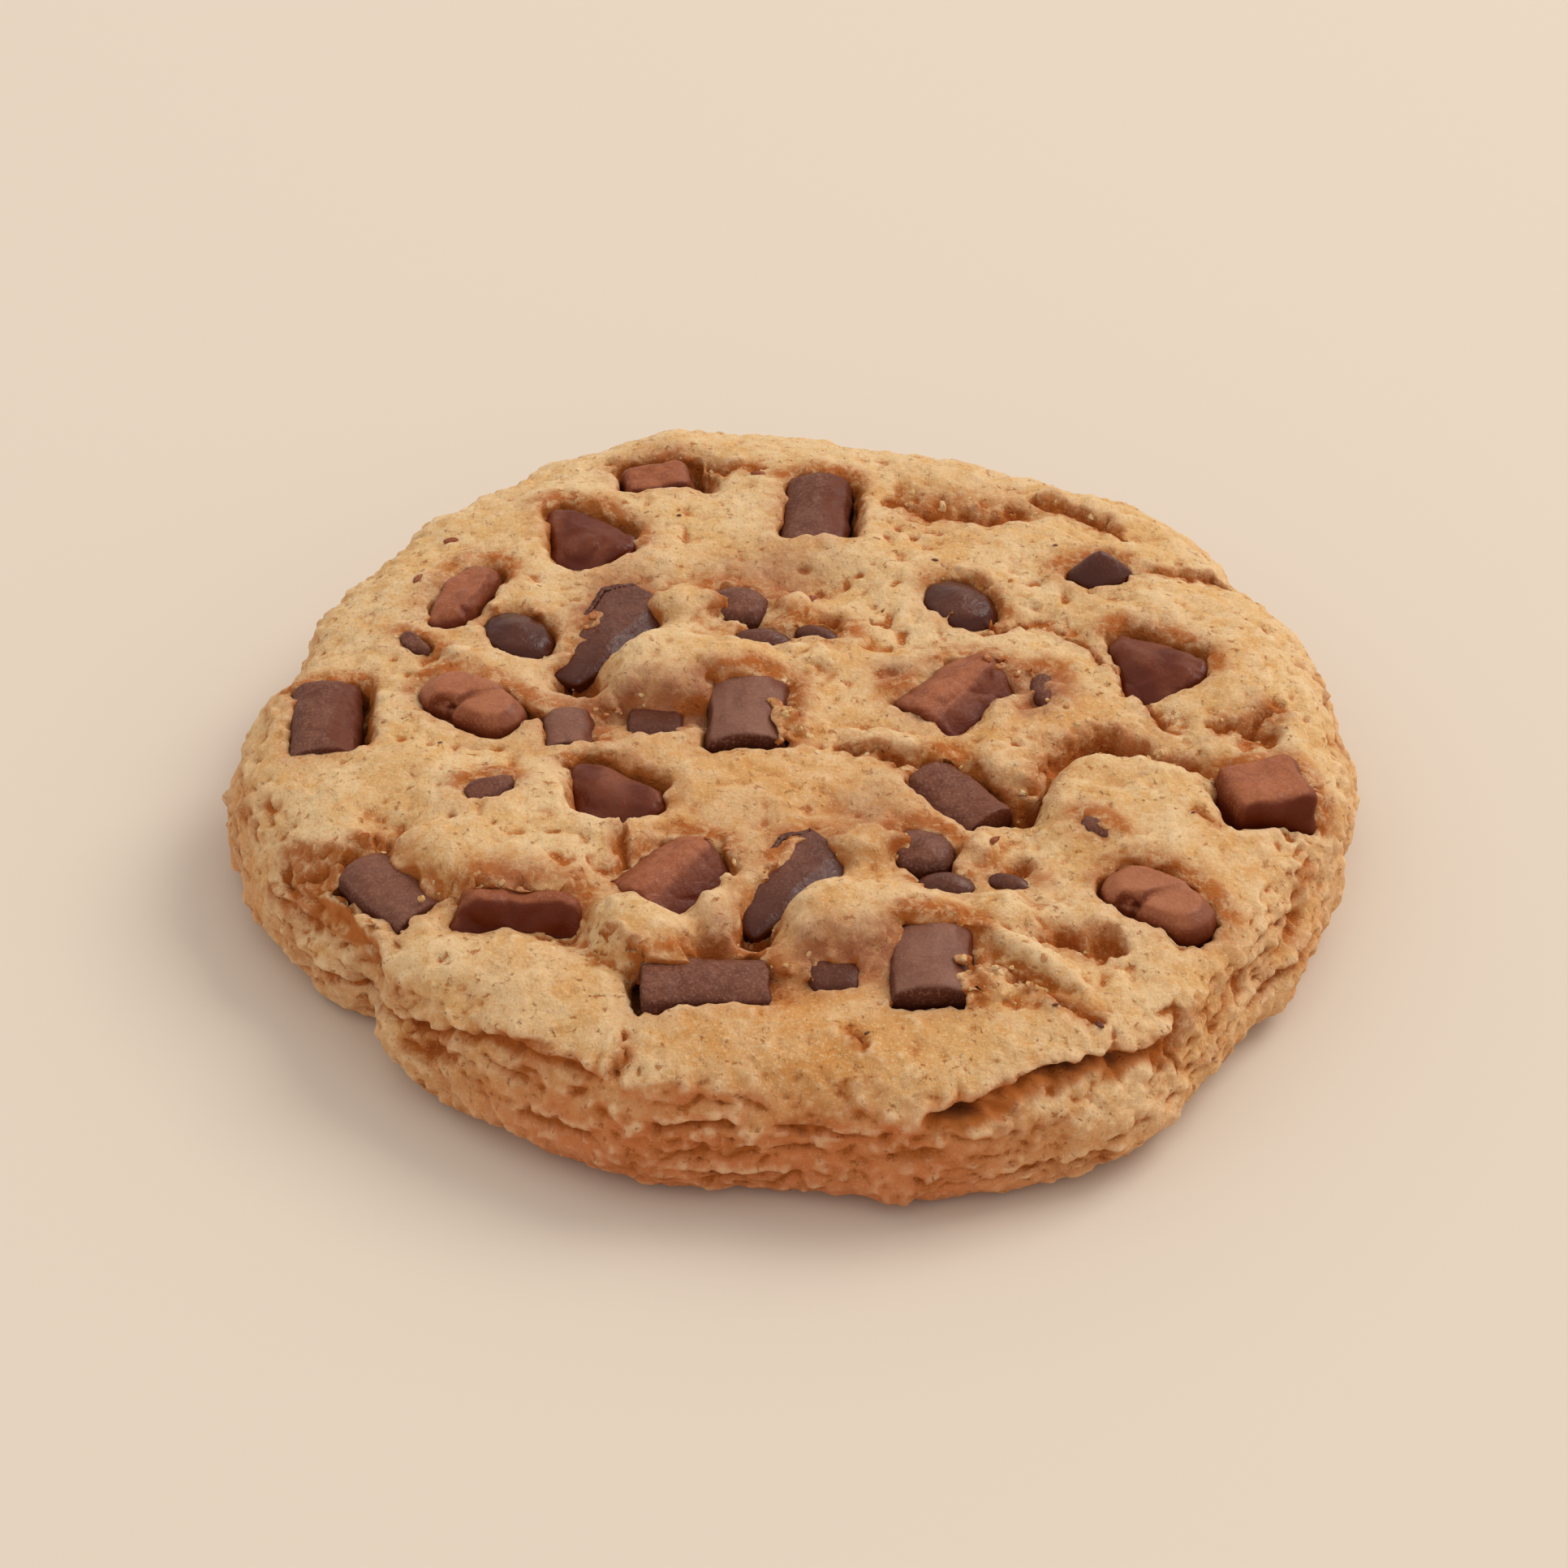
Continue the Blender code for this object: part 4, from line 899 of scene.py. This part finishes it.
def sculptDough(tree):
    remesh = {"mode": "VOXEL", "use_smooth_shade": True}
    body = withModifiers(copyOfNode("dough"), [("REMESH", {**remesh, "voxel_size": dough["bodyVoxel"] * mm})])
    spots, edges = readSpots(body), readEdges(body)
    openShare = ease(*zones["openAway"], nearChocolate(tree, spots, zones["openAway"][1] + 0.1)[0])
    spots = relax(spots, edges, dough["softenRim"])
    writeSpots(body, relax(spots, edges, dough["softenOpen"] - dough["softenRim"], 0.5 * openShare))
    mesh = joinForms(body, lumpForms())
    mesh = withModifiers(mesh, [("REMESH", {**remesh, "voxel_size": dough["voxel"] * mm})])
    spots, edges = readSpots(mesh), readEdges(mesh)
    print("dough remeshed:", len(spots), "points")
    spots = relax(spots, edges, dough["fuse"])
    writeSpots(mesh, spots)
    distance, target = nearChocolate(tree, spots, 3.2)
    spots = drawIn(spots, edges, readNormals(mesh), tree, distance, target)
    spots = relax(spots, edges, 1, 0.4)
    writeSpots(mesh, spots)
    normals = readNormals(mesh)

    # which part of the cookie each point belongs to
    reach = np.hypot(spots[:, 0], spots[:, 1])
    upward = normals[:, 2]
    height = spots[:, 2]
    base = 1 - ease(*zones["footHeight"], height)
    top = ease(*zones["topSlope"], upward) * ease(*zones["topHeight"], height)
    side = (1 - ease(*zones["sideSlope"], upward)) * ease(*zones["sideRadius"], reach)
    side *= ease(*zones["sideHeight"], height)
    inPocket = (1 - ease(*zones["pocketAway"], distance)) * (1 - ease(*zones["pocketSlope"], upward))

    torn = np.zeros(len(spots))
    lift = carveTop(spots, top, torn)
    push, crevice = carveSide(spots, side, torn)
    torn = np.clip(torn, 0, 1)
    rim = (1 - ease(*zones["rimAway"], distance)) * ease(*zones["rimSlope"], upward)
    crumbly = np.clip(torn + 0.8 * rim * ease(-0.4, 0.3, grain(spots, 2.6, 6)) + 0.35 * side, 0, 1)
    near, _, own = cells(spots, dough["torn"][0], 5)
    knob = (0.62 - near) * (0.3 + 0.7 * own)
    rough = dough["wave"][1] * layers(spots, dough["wave"][0], 1, 2)
    rough += dough["lump"][1] * layers(spots, dough["lump"][0], 2, 2)
    rough += dough["crumb"][1] * layers(spots, dough["crumb"][0], 3, 2, 0.6)
    rough += dough["sand"][1] * grain(spots, dough["sand"][0], 4)
    rough *= 1 + 0.7 * side + 0.9 * np.clip(torn, 0, 1)
    rough += dough["torn"][1] * knob * crumbly
    above, wider = dough["pitLimits"]
    pits = np.clip(grain(spots, dough["pit"][0], 8) - above, 0, 1)
    pits *= np.clip(grain(spots, 5.0, 9) + wider, 0, 1)
    rough -= dough["pit"][1] * pits * np.maximum(top, side)
    outer = (1 - base) * (1 - 0.5 * inPocket)
    move = normals * (rough * outer)[:, None]
    move[:, 2] += lift * (1 - inPocket)
    outward = np.stack([spots[:, 0] / reach, spots[:, 1] / reach, np.zeros(len(spots))], axis=1)
    angle = np.degrees(np.arctan2(spots[:, 1], spots[:, 0])) % 360
    swell = np.interp(angle, *zip(*outlineSwell)) * ease(*zones["swellRadius"], reach)
    push += swell * ease(*zones["swellFoot"], height) * (1 - ease(*zones["swellTop"], height))
    move += outward * push[:, None]
    spots = spots + move * (1 - base)[:, None]
    spots[:, 2] = np.maximum(spots[:, 2], 0)
    writeSpots(mesh, spots)
    paintDough(mesh, spots, edges, torn, crevice, distance, target)
    crumbPlaces = (spots, readNormals(mesh), torn, distance)
    triangles = 2 * len(mesh.polygons)
    keep = min(1.0, dough["mostTriangles"] / triangles)
    mesh = withModifiers(mesh, [("DECIMATE", {"ratio": keep, "use_collapse_triangulate": True})])
    mesh.shade_smooth()
    mesh.materials.append(doughMaterial())
    print("dough carved:", len(mesh.polygons), "triangles of", triangles)
    makePiece("bakedDough", mesh, ["dough"])
    return mesh.materials[0], crumbPlaces


# Crumbs of dough that lie on the crust, most of them along cracks and round the chocolate.
crumbs = {
    "count": 300,
    "sizes": (0.14, 0.42),     # half widths of the smallest and the largest
    "seed": 8,
    "sunk": 0.45,              # how deep a crumb sits in the crust, in half widths
    "searchHalf": 0.6,         # how far round its place a crumb of a heap looks for the highest point
    "heaps": (                 # x, y, spread, count, half width of the largest
        (0.2, -1.0, 0.9, 5, 0.55), (0.6, -3.4, 0.8, 5, 0.55), (14.2, -32.2, 0.9, 6, 0.55),
        (17.4, -33.6, 1.0, 5, 0.5), (16.6, 4.0, 1.1, 5, 0.5), (-4.8, -19.4, 0.9, 2, 0.5),
        (24.4, -2.6, 2.0, 12, 0.5), (29.4, -4.8, 1.4, 8, 0.45), (18.0, -8.0, 1.2, 6, 0.5),
        (-28.0, -21.8, 0.6, 4, 0.4), (-14.2, 0.6, 0.9, 6, 0.4), (0.0, -30.8, 0.9, 5, 0.4),
    ),
}


def crumbShapes(seed, count=6):
    # a few lumpy crumbs to choose from
    bm = bmesh.new()
    bmesh.ops.create_icosphere(bm, subdivisions=2, radius=1.0)
    ball = np.array([vert.co[:] for vert in bm.verts])
    faces = np.array([[vert.index for vert in face.verts] for face in bm.faces])
    bm.free()
    draw = np.random.default_rng(seed)
    shapes = []
    for number in range(count):
        # flats cut off a ball give it edges and corners
        lumpy = 1 + 0.20 * grain(ball, 0.7, seed + number)
        for _ in range(7):
            way = draw.normal(size=3)
            way /= np.linalg.norm(way)
            facing = np.maximum(ball @ way, 1e-3)
            lumpy = np.minimum(lumpy, (0.55 + 0.3 * draw.random()) / facing)
        shapes.append(ball * lumpy[:, None])
    return shapes, faces


def spinBy(angle):
    # turns places given as rows about the upright axis
    cos, sin = math.cos(angle), math.sin(angle)
    return np.array([[cos, sin, 0], [-sin, cos, 0], [0, 0, 1]])


def tiltBy(angle):
    cos, sin = math.cos(angle), math.sin(angle)
    return np.array([[1, 0, 0], [0, cos, -sin], [0, sin, cos]])


def gather(name, shapes, faces):
    # many copies of one ball of faces as one mesh
    joined = [faces + number * len(shape) for number, shape in enumerate(shapes)]
    return meshOf(name, np.concatenate(shapes), np.concatenate(joined).tolist())


def scatterCrumbs(material, crumbPlaces):
    spots, normals, torn, distance = crumbPlaces
    draw = np.random.default_rng(crumbs["seed"])
    onTop = (normals[:, 2] > 0.35) & (spots[:, 2] > 9.0) & (np.hypot(spots[:, 0], spots[:, 1]) < 39.0)
    rim = (distance > 0.15) & (distance < 1.0)
    weight = onTop * (0.03 + torn + 0.15 * rim)
    chosen = draw.choice(len(spots), crumbs["count"], replace=False, p=weight / weight.sum())
    small, large = crumbs["sizes"]
    places = [(index, small + (large - small) * draw.random() ** 2.2) for index in chosen]
    for x, y, spreadOut, count, largest in crumbs["heaps"]:
        for _ in range(count):
            at = np.array((x, y)) + draw.normal(0, spreadOut, 2)
            near = np.flatnonzero(onTop & (np.abs(spots[:, :2] - at) < crumbs["searchHalf"]).all(axis=1))
            if len(near):
                places.append((near[np.argmax(spots[near, 2])], largest * (0.30 + 0.45 * draw.random())))
    shapes, faces = crumbShapes(300)
    laid, tone = [], []
    for number, (index, size) in enumerate(places):
        turn, tilt = draw.random() * math.tau, draw.random() * math.pi
        stretch = 0.75 + 0.5 * draw.random(3)
        shape = (shapes[number % len(shapes)] * stretch) @ tiltBy(tilt) @ spinBy(-turn) * size
        laid.append(shape + spots[index] - normals[index] * size * crumbs["sunk"])
        tone.append(np.full(len(shape), draw.random() * 0.9 - 0.55))
    mesh = gather("crumbs", laid, faces)
    setAttribute(mesh, "relief", np.concatenate(tone))
    mesh.shade_flat()
    mesh.materials.append(material)
    makePiece("looseCrumbs", mesh)
    print("crumbs:", len(places))


# The chocolate pieces.
chocolate = {
    "voxel": 0.17,
    "soften": 4,               # rounds of smoothing
    "grain": 0.022,
    "keep": 0.45,              # share of the triangles that stay
    "brokenCrumb": (0.9, 0.30),        # size and height of the knobs of a broken flank
    "facet": (2.8, 0.38),      # size and height of the facets of wedges, slabs and ridges
    "blotch": (2.0, 0.92, 0.4),        # size, mean and swing of the uneven shade
    "sunk": (0.6, 2.6),        # from and to which depth below its top a piece darkens: painted shade low in its pocket
}

# How each kind of piece is finished: rounds of extra softening, unevenness, how rough its broken flank is,
# how much paler or darker it is than the chocolate, how polished, and how much darker its right and
# front faces are as painted shade.
finishColumns = ("soften", "swell", "flank", "paler", "darker", "polish", "rightShade", "frontShade")
finishes = {
    "rod": (1, 0.18, 0.9, 0.0, 0.0, 0.0, 0.25, 0.0),
    "chip": (8, 0.08, 0.0, 0.0, 0.98, 0.30, 0.10, 0.0),
    "lens": (5, 0.10, 0.0, 0.0, 0.45, 0.22, 0.10, 0.0),
    "peak": (14, 0.16, 0.0, 0.0, 0.75, 0.28, 0.10, 0.0),
    "shard": (-2, 0.10, 0.3, 0.0, 0.30, 0.20, 0.40, 0.0),
    "flake": (2, 0.14, 0.2, 0.0, 0.10, 0.05, 0.10, 0.0),
    "wedge": (0, 0.20, 0.6, 0.0, 0.86, 0.22, 0.35, 0.0),
    "ridge": (-2, 0.06, 0.6, 0.0, 0.0, 0.05, 0.60, 0.40),
    "bar": (5, 0.12, 0.0, 0.36, 0.0, 0.08, 0.50, 0.0),
    "block": (24, 0.34, 0.6, 0.0, 0.0, 0.0, 0.45, 0.55),
    "slab": (12, 0.20, 0.6, 0.0, 0.10, 0.05, 0.30, 0.75),
}

# What single pieces have instead; right is how rough the right end is.
ownFinishes = {
    "dark_rod_1": {"right": 0.9, "darker": 0.14}, "dark_rod_2": {"right": 0.9, "darker": 0.14},
    "dark_rod_3": {"paler": 0.55}, "dark_rod_4": {"paler": 0.43}, "dark_rod_5": {"right": 0.3},
    "dark_rod_6": {"paler": 0.20}, "dark_rod_8": {"paler": 0.45},
    "dark_flake_3": {"soften": 24, "darker": 0.6}, "dark_flake_4": {"soften": 24, "darker": 0.6},
    "milk_slab_3": {"darker": 0.25, "soften": 26, "swell": 0.40},
}


def middleOf(spots):
    return (spots.min(axis=0) + spots.max(axis=0)) / 2


def alongAndAcross(spots):
    # where each point of a piece lies along and across it, seen from above, and the direction of its length,
    # which points right
    flat = spots[:, :2] - spots[:, :2].mean(axis=0)
    _, ways = np.linalg.eigh(flat.T @ flat)
    way = ways[:, 1] * (1 if ways[0, 1] > 0 else -1)
    away = spots[:, :2] - middleOf(spots)[:2]
    return away @ way, away[:, 1] * way[0] - away[:, 0] * way[1], way


def notchBar(spots, normals):
    # two lobes of different height with a torn crease between them
    along, across, _ = alongAndAcross(spots)
    crease = along - 0.2 - 0.55 * across - 0.25 * grain(spots, 1.2, 71)
    change = 0.20 * (0.5 - ease(-0.3, 0.3, crease))
    change -= 0.55 * np.exp(-((crease / 0.30) ** 2)) * ease(1.2, -1.4, across)
    bite = np.hypot(crease + 0.4, across + 2.3)
    change -= 0.8 * (1 - ease(0.4, 1.5, bite))
    return change * ease(0.2, 0.7, normals[:, 2] + 0.4)


def facetTop(spots, normals, height):
    # two facets that meet in a crisp line along the piece
    _, across, _ = alongAndAcross(spots)
    half = np.abs(across).max()
    return height * (0.45 - np.abs(across / half + 0.15)) * ease(0.1, 0.7, normals[:, 2])


# Pieces that reach further into the dough than their pockets: growth along, across and upwards, and how far
# to the back they move.
growth = {
    "dark_chip_1": (1.12, 1.25, 1.08, 0.4), "dark_chip_2": (1.12, 1.25, 1.08, 0.4),
    "dark_rod_1": (1.10, 1.08, 1.05, -0.2), "dark_rod_2": (1.18, 1.10, 1.08, -0.6),
    "dark_flake_5": (1.05, 1.15, 1.30, 0.1), "dark_flake_6": (1.1, 1.1, 1.2, 0.0),
    "dark_flake_8": (1.1, 1.1, 1.25, 0.0), "milk_slab_3": (1.10, 1.40, 1.06, 0.4),
    "dark_shard_1": (1.0, 1.35, 1.1, 0.2), "dark_shard_2": (1.0, 1.35, 1.1, 0.2),
    "dark_flake_3": (1.15, 1.5, 1.2, 0.2), "dark_flake_4": (1.15, 1.5, 1.2, 0.2),
}


def grow(spots, longer, wider, higher, back):
    along, across, way = alongAndAcross(spots)
    low = spots[:, 2].min()
    flat = np.outer(along * longer, way) + np.outer(across * wider, (-way[1], way[0]))
    height = low + (spots[:, 2] - low) * higher
    return np.column_stack([flat + middleOf(spots)[:2] + (0.0, back), height])


def paintChocolate(mesh, spots, kind, finish, flank, sunk, seed):
    normals = readNormals(mesh)
    # painted shade on the faces turned to the right and to the front
    if kind == "ridge":
        turned = ease(-0.15, 0.15, (spots - middleOf(spots)) @ np.array((0.80, -0.60, 0.0)) - 0.9)
    else:
        turned = ease(0.25, 0.60, normals @ np.array((0.80, -0.50, 0.0)))
    shaded = finish["rightShade"] * turned + finish["frontShade"] * ease(0.30, 0.75, -normals[:, 1])
    size, mean, swing = chocolate["blotch"]
    blotch = mean + swing * grain(spots, size, seed + 11)
    for name, values in {
        "sunk": sunk,
        # upward faces, which take painted light and bloom
        "upper": ease(0.35, 0.95, normals[:, 2]),
        "broken": np.clip(flank, 0, 1),
        "darker": np.clip(finish["darker"] * blotch + shaded, 0, 0.95),
        # paler on upward faces: the piece's own bloom, and painted light on its top
        "paler": np.clip(finish["paler"] * blotch * ease(0.2, 0.8, normals[:, 2]), 0, 1),
        "polish": np.full(len(spots), finish["polish"]),
    }.items():
        setAttribute(mesh, name, values)


def meltChocolate(nodeName, material, seed):
    words = nodeName.split("_")
    kind = words[1]
    finish = {**dict(zip(finishColumns, finishes[kind])), **ownFinishes.get(nodeName, {})}
    mesh = withModifiers(copyOfNode(nodeName), [
        ("REMESH", {"mode": "VOXEL", "voxel_size": chocolate["voxel"] * mm, "use_smooth_shade": True}),
    ])
    spots, edges = readSpots(mesh), readEdges(mesh)
    spots = relax(spots, edges, chocolate["soften"] + finish["soften"])
    if nodeName in growth:
        spots = grow(spots, *growth[nodeName])
    writeSpots(mesh, spots)
    normals = readNormals(mesh)
    change = finish["swell"] * layers(spots, 2.6, seed, 2)
    change += chocolate["grain"] * layers(spots, 0.7, seed + 5, 2)
    if kind == "bar":
        change += notchBar(spots, normals)
    if kind == "shard":
        change += facetTop(spots, normals, 0.9)
    # the flank towards the open gap, on the right, is broken and crumbly
    facing = normals @ np.array((0.90, 0.30, 0.0))
    flank = ease(0.25, 0.7, facing + 0.25 * grain(spots, 1.4, seed + 9)) * finish["flank"]
    if "right" in finish:
        middle = middleOf(spots)[0]
        rightward = (spots[:, 0] - middle) / (spots[:, 0].max() - middle) + 0.18 * grain(spots, 2.0, seed + 8)
        flank = np.maximum(flank, ease(0.18, 0.45, rightward) * finish["right"])
    size, height = chocolate["brokenCrumb"]
    near, _, own = cells(spots, size, seed + 3)
    change += height * flank * (0.5 - near) * (0.4 + 0.6 * own)
    if kind in ("wedge", "slab", "ridge"):
        size, height = chocolate["facet"]
        near, after, _ = cells(spots, size, seed + 4)
        change += height * (after - near - 0.4) * ease(-0.2, 0.4, normals[:, 2])
    sunk = ease(*chocolate["sunk"], spots[:, 2].max() - spots[:, 2])
    spots = spots + normals * change[:, None]
    writeSpots(mesh, spots)
    paintChocolate(mesh, spots, kind, finish, flank, sunk, seed)
    mesh = withModifiers(mesh, [("DECIMATE", {"ratio": chocolate["keep"], "use_collapse_triangulate": True})])
    mesh.shade_smooth()
    mesh.materials.append(material)
    name = words[0] + "".join(word.capitalize() for word in words[1:])
    makePiece(name, mesh, [nodeName])


def makeChocolate():
    materials = {kind: chocolateMaterial(kind) for kind in chocolateLook}
    names = sorted(name for name in frame["nodes"] if name != "dough")
    for index, name in enumerate(names):
        meltChocolate(name, materials[name.split("_")[0]], 200 + 10 * index)
    print("chocolate pieces:", len(names))
    return materials


# Specks of chocolate on the crust: x, y, half length, yaw, kind.
specks = (
    (-31.0, 18.6, 0.75, 60, "milk"), (-28.0, 24.6, 0.8, 30, "milk"), (1.8, 15.0, 0.7, 40, "milk"),
    (15.8, -17.1, 0.7, 50, "milk"), (22.4, -36.4, 0.55, -50, "dark"), (-3.2, 34.0, 0.9, -8, "milk"),
    (19.4, -36.0, 0.3, 10, "dark"), (12.0, 19.8, 0.35, 10, "dark"), (34.2, -12.8, 0.25, 0, "dark"),
    (7.4, 13.6, 0.3, 70, "milk"), (-27.4, -4.0, 0.25, 20, "dark"), (-9.0, 27.0, 0.3, 20, "dark"),
    (30.6, -14.2, 0.22, 0, "dark"), (5.0, -38.0, 0.3, 30, "dark"), (22.0, 22.6, 0.25, 0, "dark"),
)


def scatterSpecks(materials, crumbPlaces):
    spots, normals = crumbPlaces[:2]
    shapes, faces = crumbShapes(500)
    for kind, material in materials.items():
        laid = []
        for number, (x, y, half, yaw, own) in enumerate(specks):
            if own != kind:
                continue
            close = np.hypot(spots[:, 0] - x, spots[:, 1] - y) < 0.5
            near = np.flatnonzero(close & (normals[:, 2] > 0.4))
            place = spots[near[np.argmax(spots[near, 2])]]
            flattened = shapes[number % len(shapes)] * (half, 0.45 * half, 0.4 * half)
            laid.append(flattened @ spinBy(math.radians(yaw)) + place)
        mesh = gather(kind + "Specks", laid, faces)
        setAttribute(mesh, "upper", np.full(len(mesh.vertices), 0.5))
        mesh.shade_smooth()
        mesh.materials.append(material)
        makePiece(kind + "Specks", mesh)
    print("specks:", len(specks))


# Floor, light and camera.
studio = {
    "floor": (0.715, 0.612, 0.503),
    "floorSize": 4.0,
    "floorRoughness": 0.9,
    "floorSpecular": 0.1,
    "sky": (1.0, 0.97, 0.94),
    "skyStrength": 0.78,
    "keyWay": (0.60, 0.38, 0.70),       # from the cookie towards the softbox
    "keyDistance": 2.0,
    "keySize": 1.1,
    "keyEnergy": 21.0,
    "keyColour": (1.0, 0.975, 0.94),
}

lens = {
    "target": (-0.73, -1.18, 7.0),      # millimetres
    "elevation": 38.0,
    "distance": 467.8,
    "focalLength": 135.0,
    "sensorWidth": 36.0,
    "nearest": 0.01,                    # metres
}


def makeFloor():
    bm = bmesh.new()
    bmesh.ops.create_grid(bm, x_segments=2, y_segments=2, size=studio["floorSize"] / 2)
    mesh = bpy.data.meshes.new("paleFloor")
    bm.to_mesh(mesh)
    bm.free()
    floor = addObject("paleFloor", mesh)
    material, _, shader = startMaterial("paleFloor")
    shader.inputs["Base Color"].default_value = (*studio["floor"], 1.0)
    shader.inputs["Roughness"].default_value = studio["floorRoughness"]
    shader.inputs["Specular IOR Level"].default_value = studio["floorSpecular"]
    mesh.materials.append(material)


def makeLight():
    world = bpy.data.worlds.new("studio")
    bpy.context.scene.world = world
    world.use_nodes = True
    sky = world.node_tree.nodes["Background"]
    sky.inputs["Color"].default_value = (*studio["sky"], 1.0)
    sky.inputs["Strength"].default_value = studio["skyStrength"]
    light = bpy.data.lights.new("softbox", "AREA")
    light.size = studio["keySize"]
    light.energy = studio["keyEnergy"]
    light.color = studio["keyColour"]
    softbox = addObject("softbox", light)
    softbox.location = Vector(studio["keyWay"]).normalized() * studio["keyDistance"]
    softbox.rotation_euler = (-softbox.location).to_track_quat("-Z", "Y").to_euler()


def makeCamera():
    target = Vector(lens["target"]) * mm
    tilt = math.radians(lens["elevation"])
    back = Vector((0.0, -math.cos(tilt), math.sin(tilt)))
    data = bpy.data.cameras.new("camera")
    data.lens = lens["focalLength"]
    data.sensor_width = lens["sensorWidth"]
    data.clip_start = lens["nearest"]
    camera = addObject("camera", data)
    camera.location = target + back * lens["distance"] * mm
    camera.rotation_euler = (-back).to_track_quat("-Z", "Y").to_euler()
    bpy.context.scene.camera = camera


for leftover in [obj for obj in bpy.data.objects if obj.name in ("Cube", "Light", "Camera")]:
    bpy.data.objects.remove(leftover)
makeCamera()
makeLight()
makeFloor()
chocolateForm = chocolateTree()
doughFinish, crumbPlaces = sculptDough(chocolateForm)
scatterCrumbs(doughFinish, crumbPlaces)
chocolateFinish = makeChocolate()
scatterSpecks(chocolateFinish, crumbPlaces)
bpy.context.scene.view_settings.view_transform = "Standard"
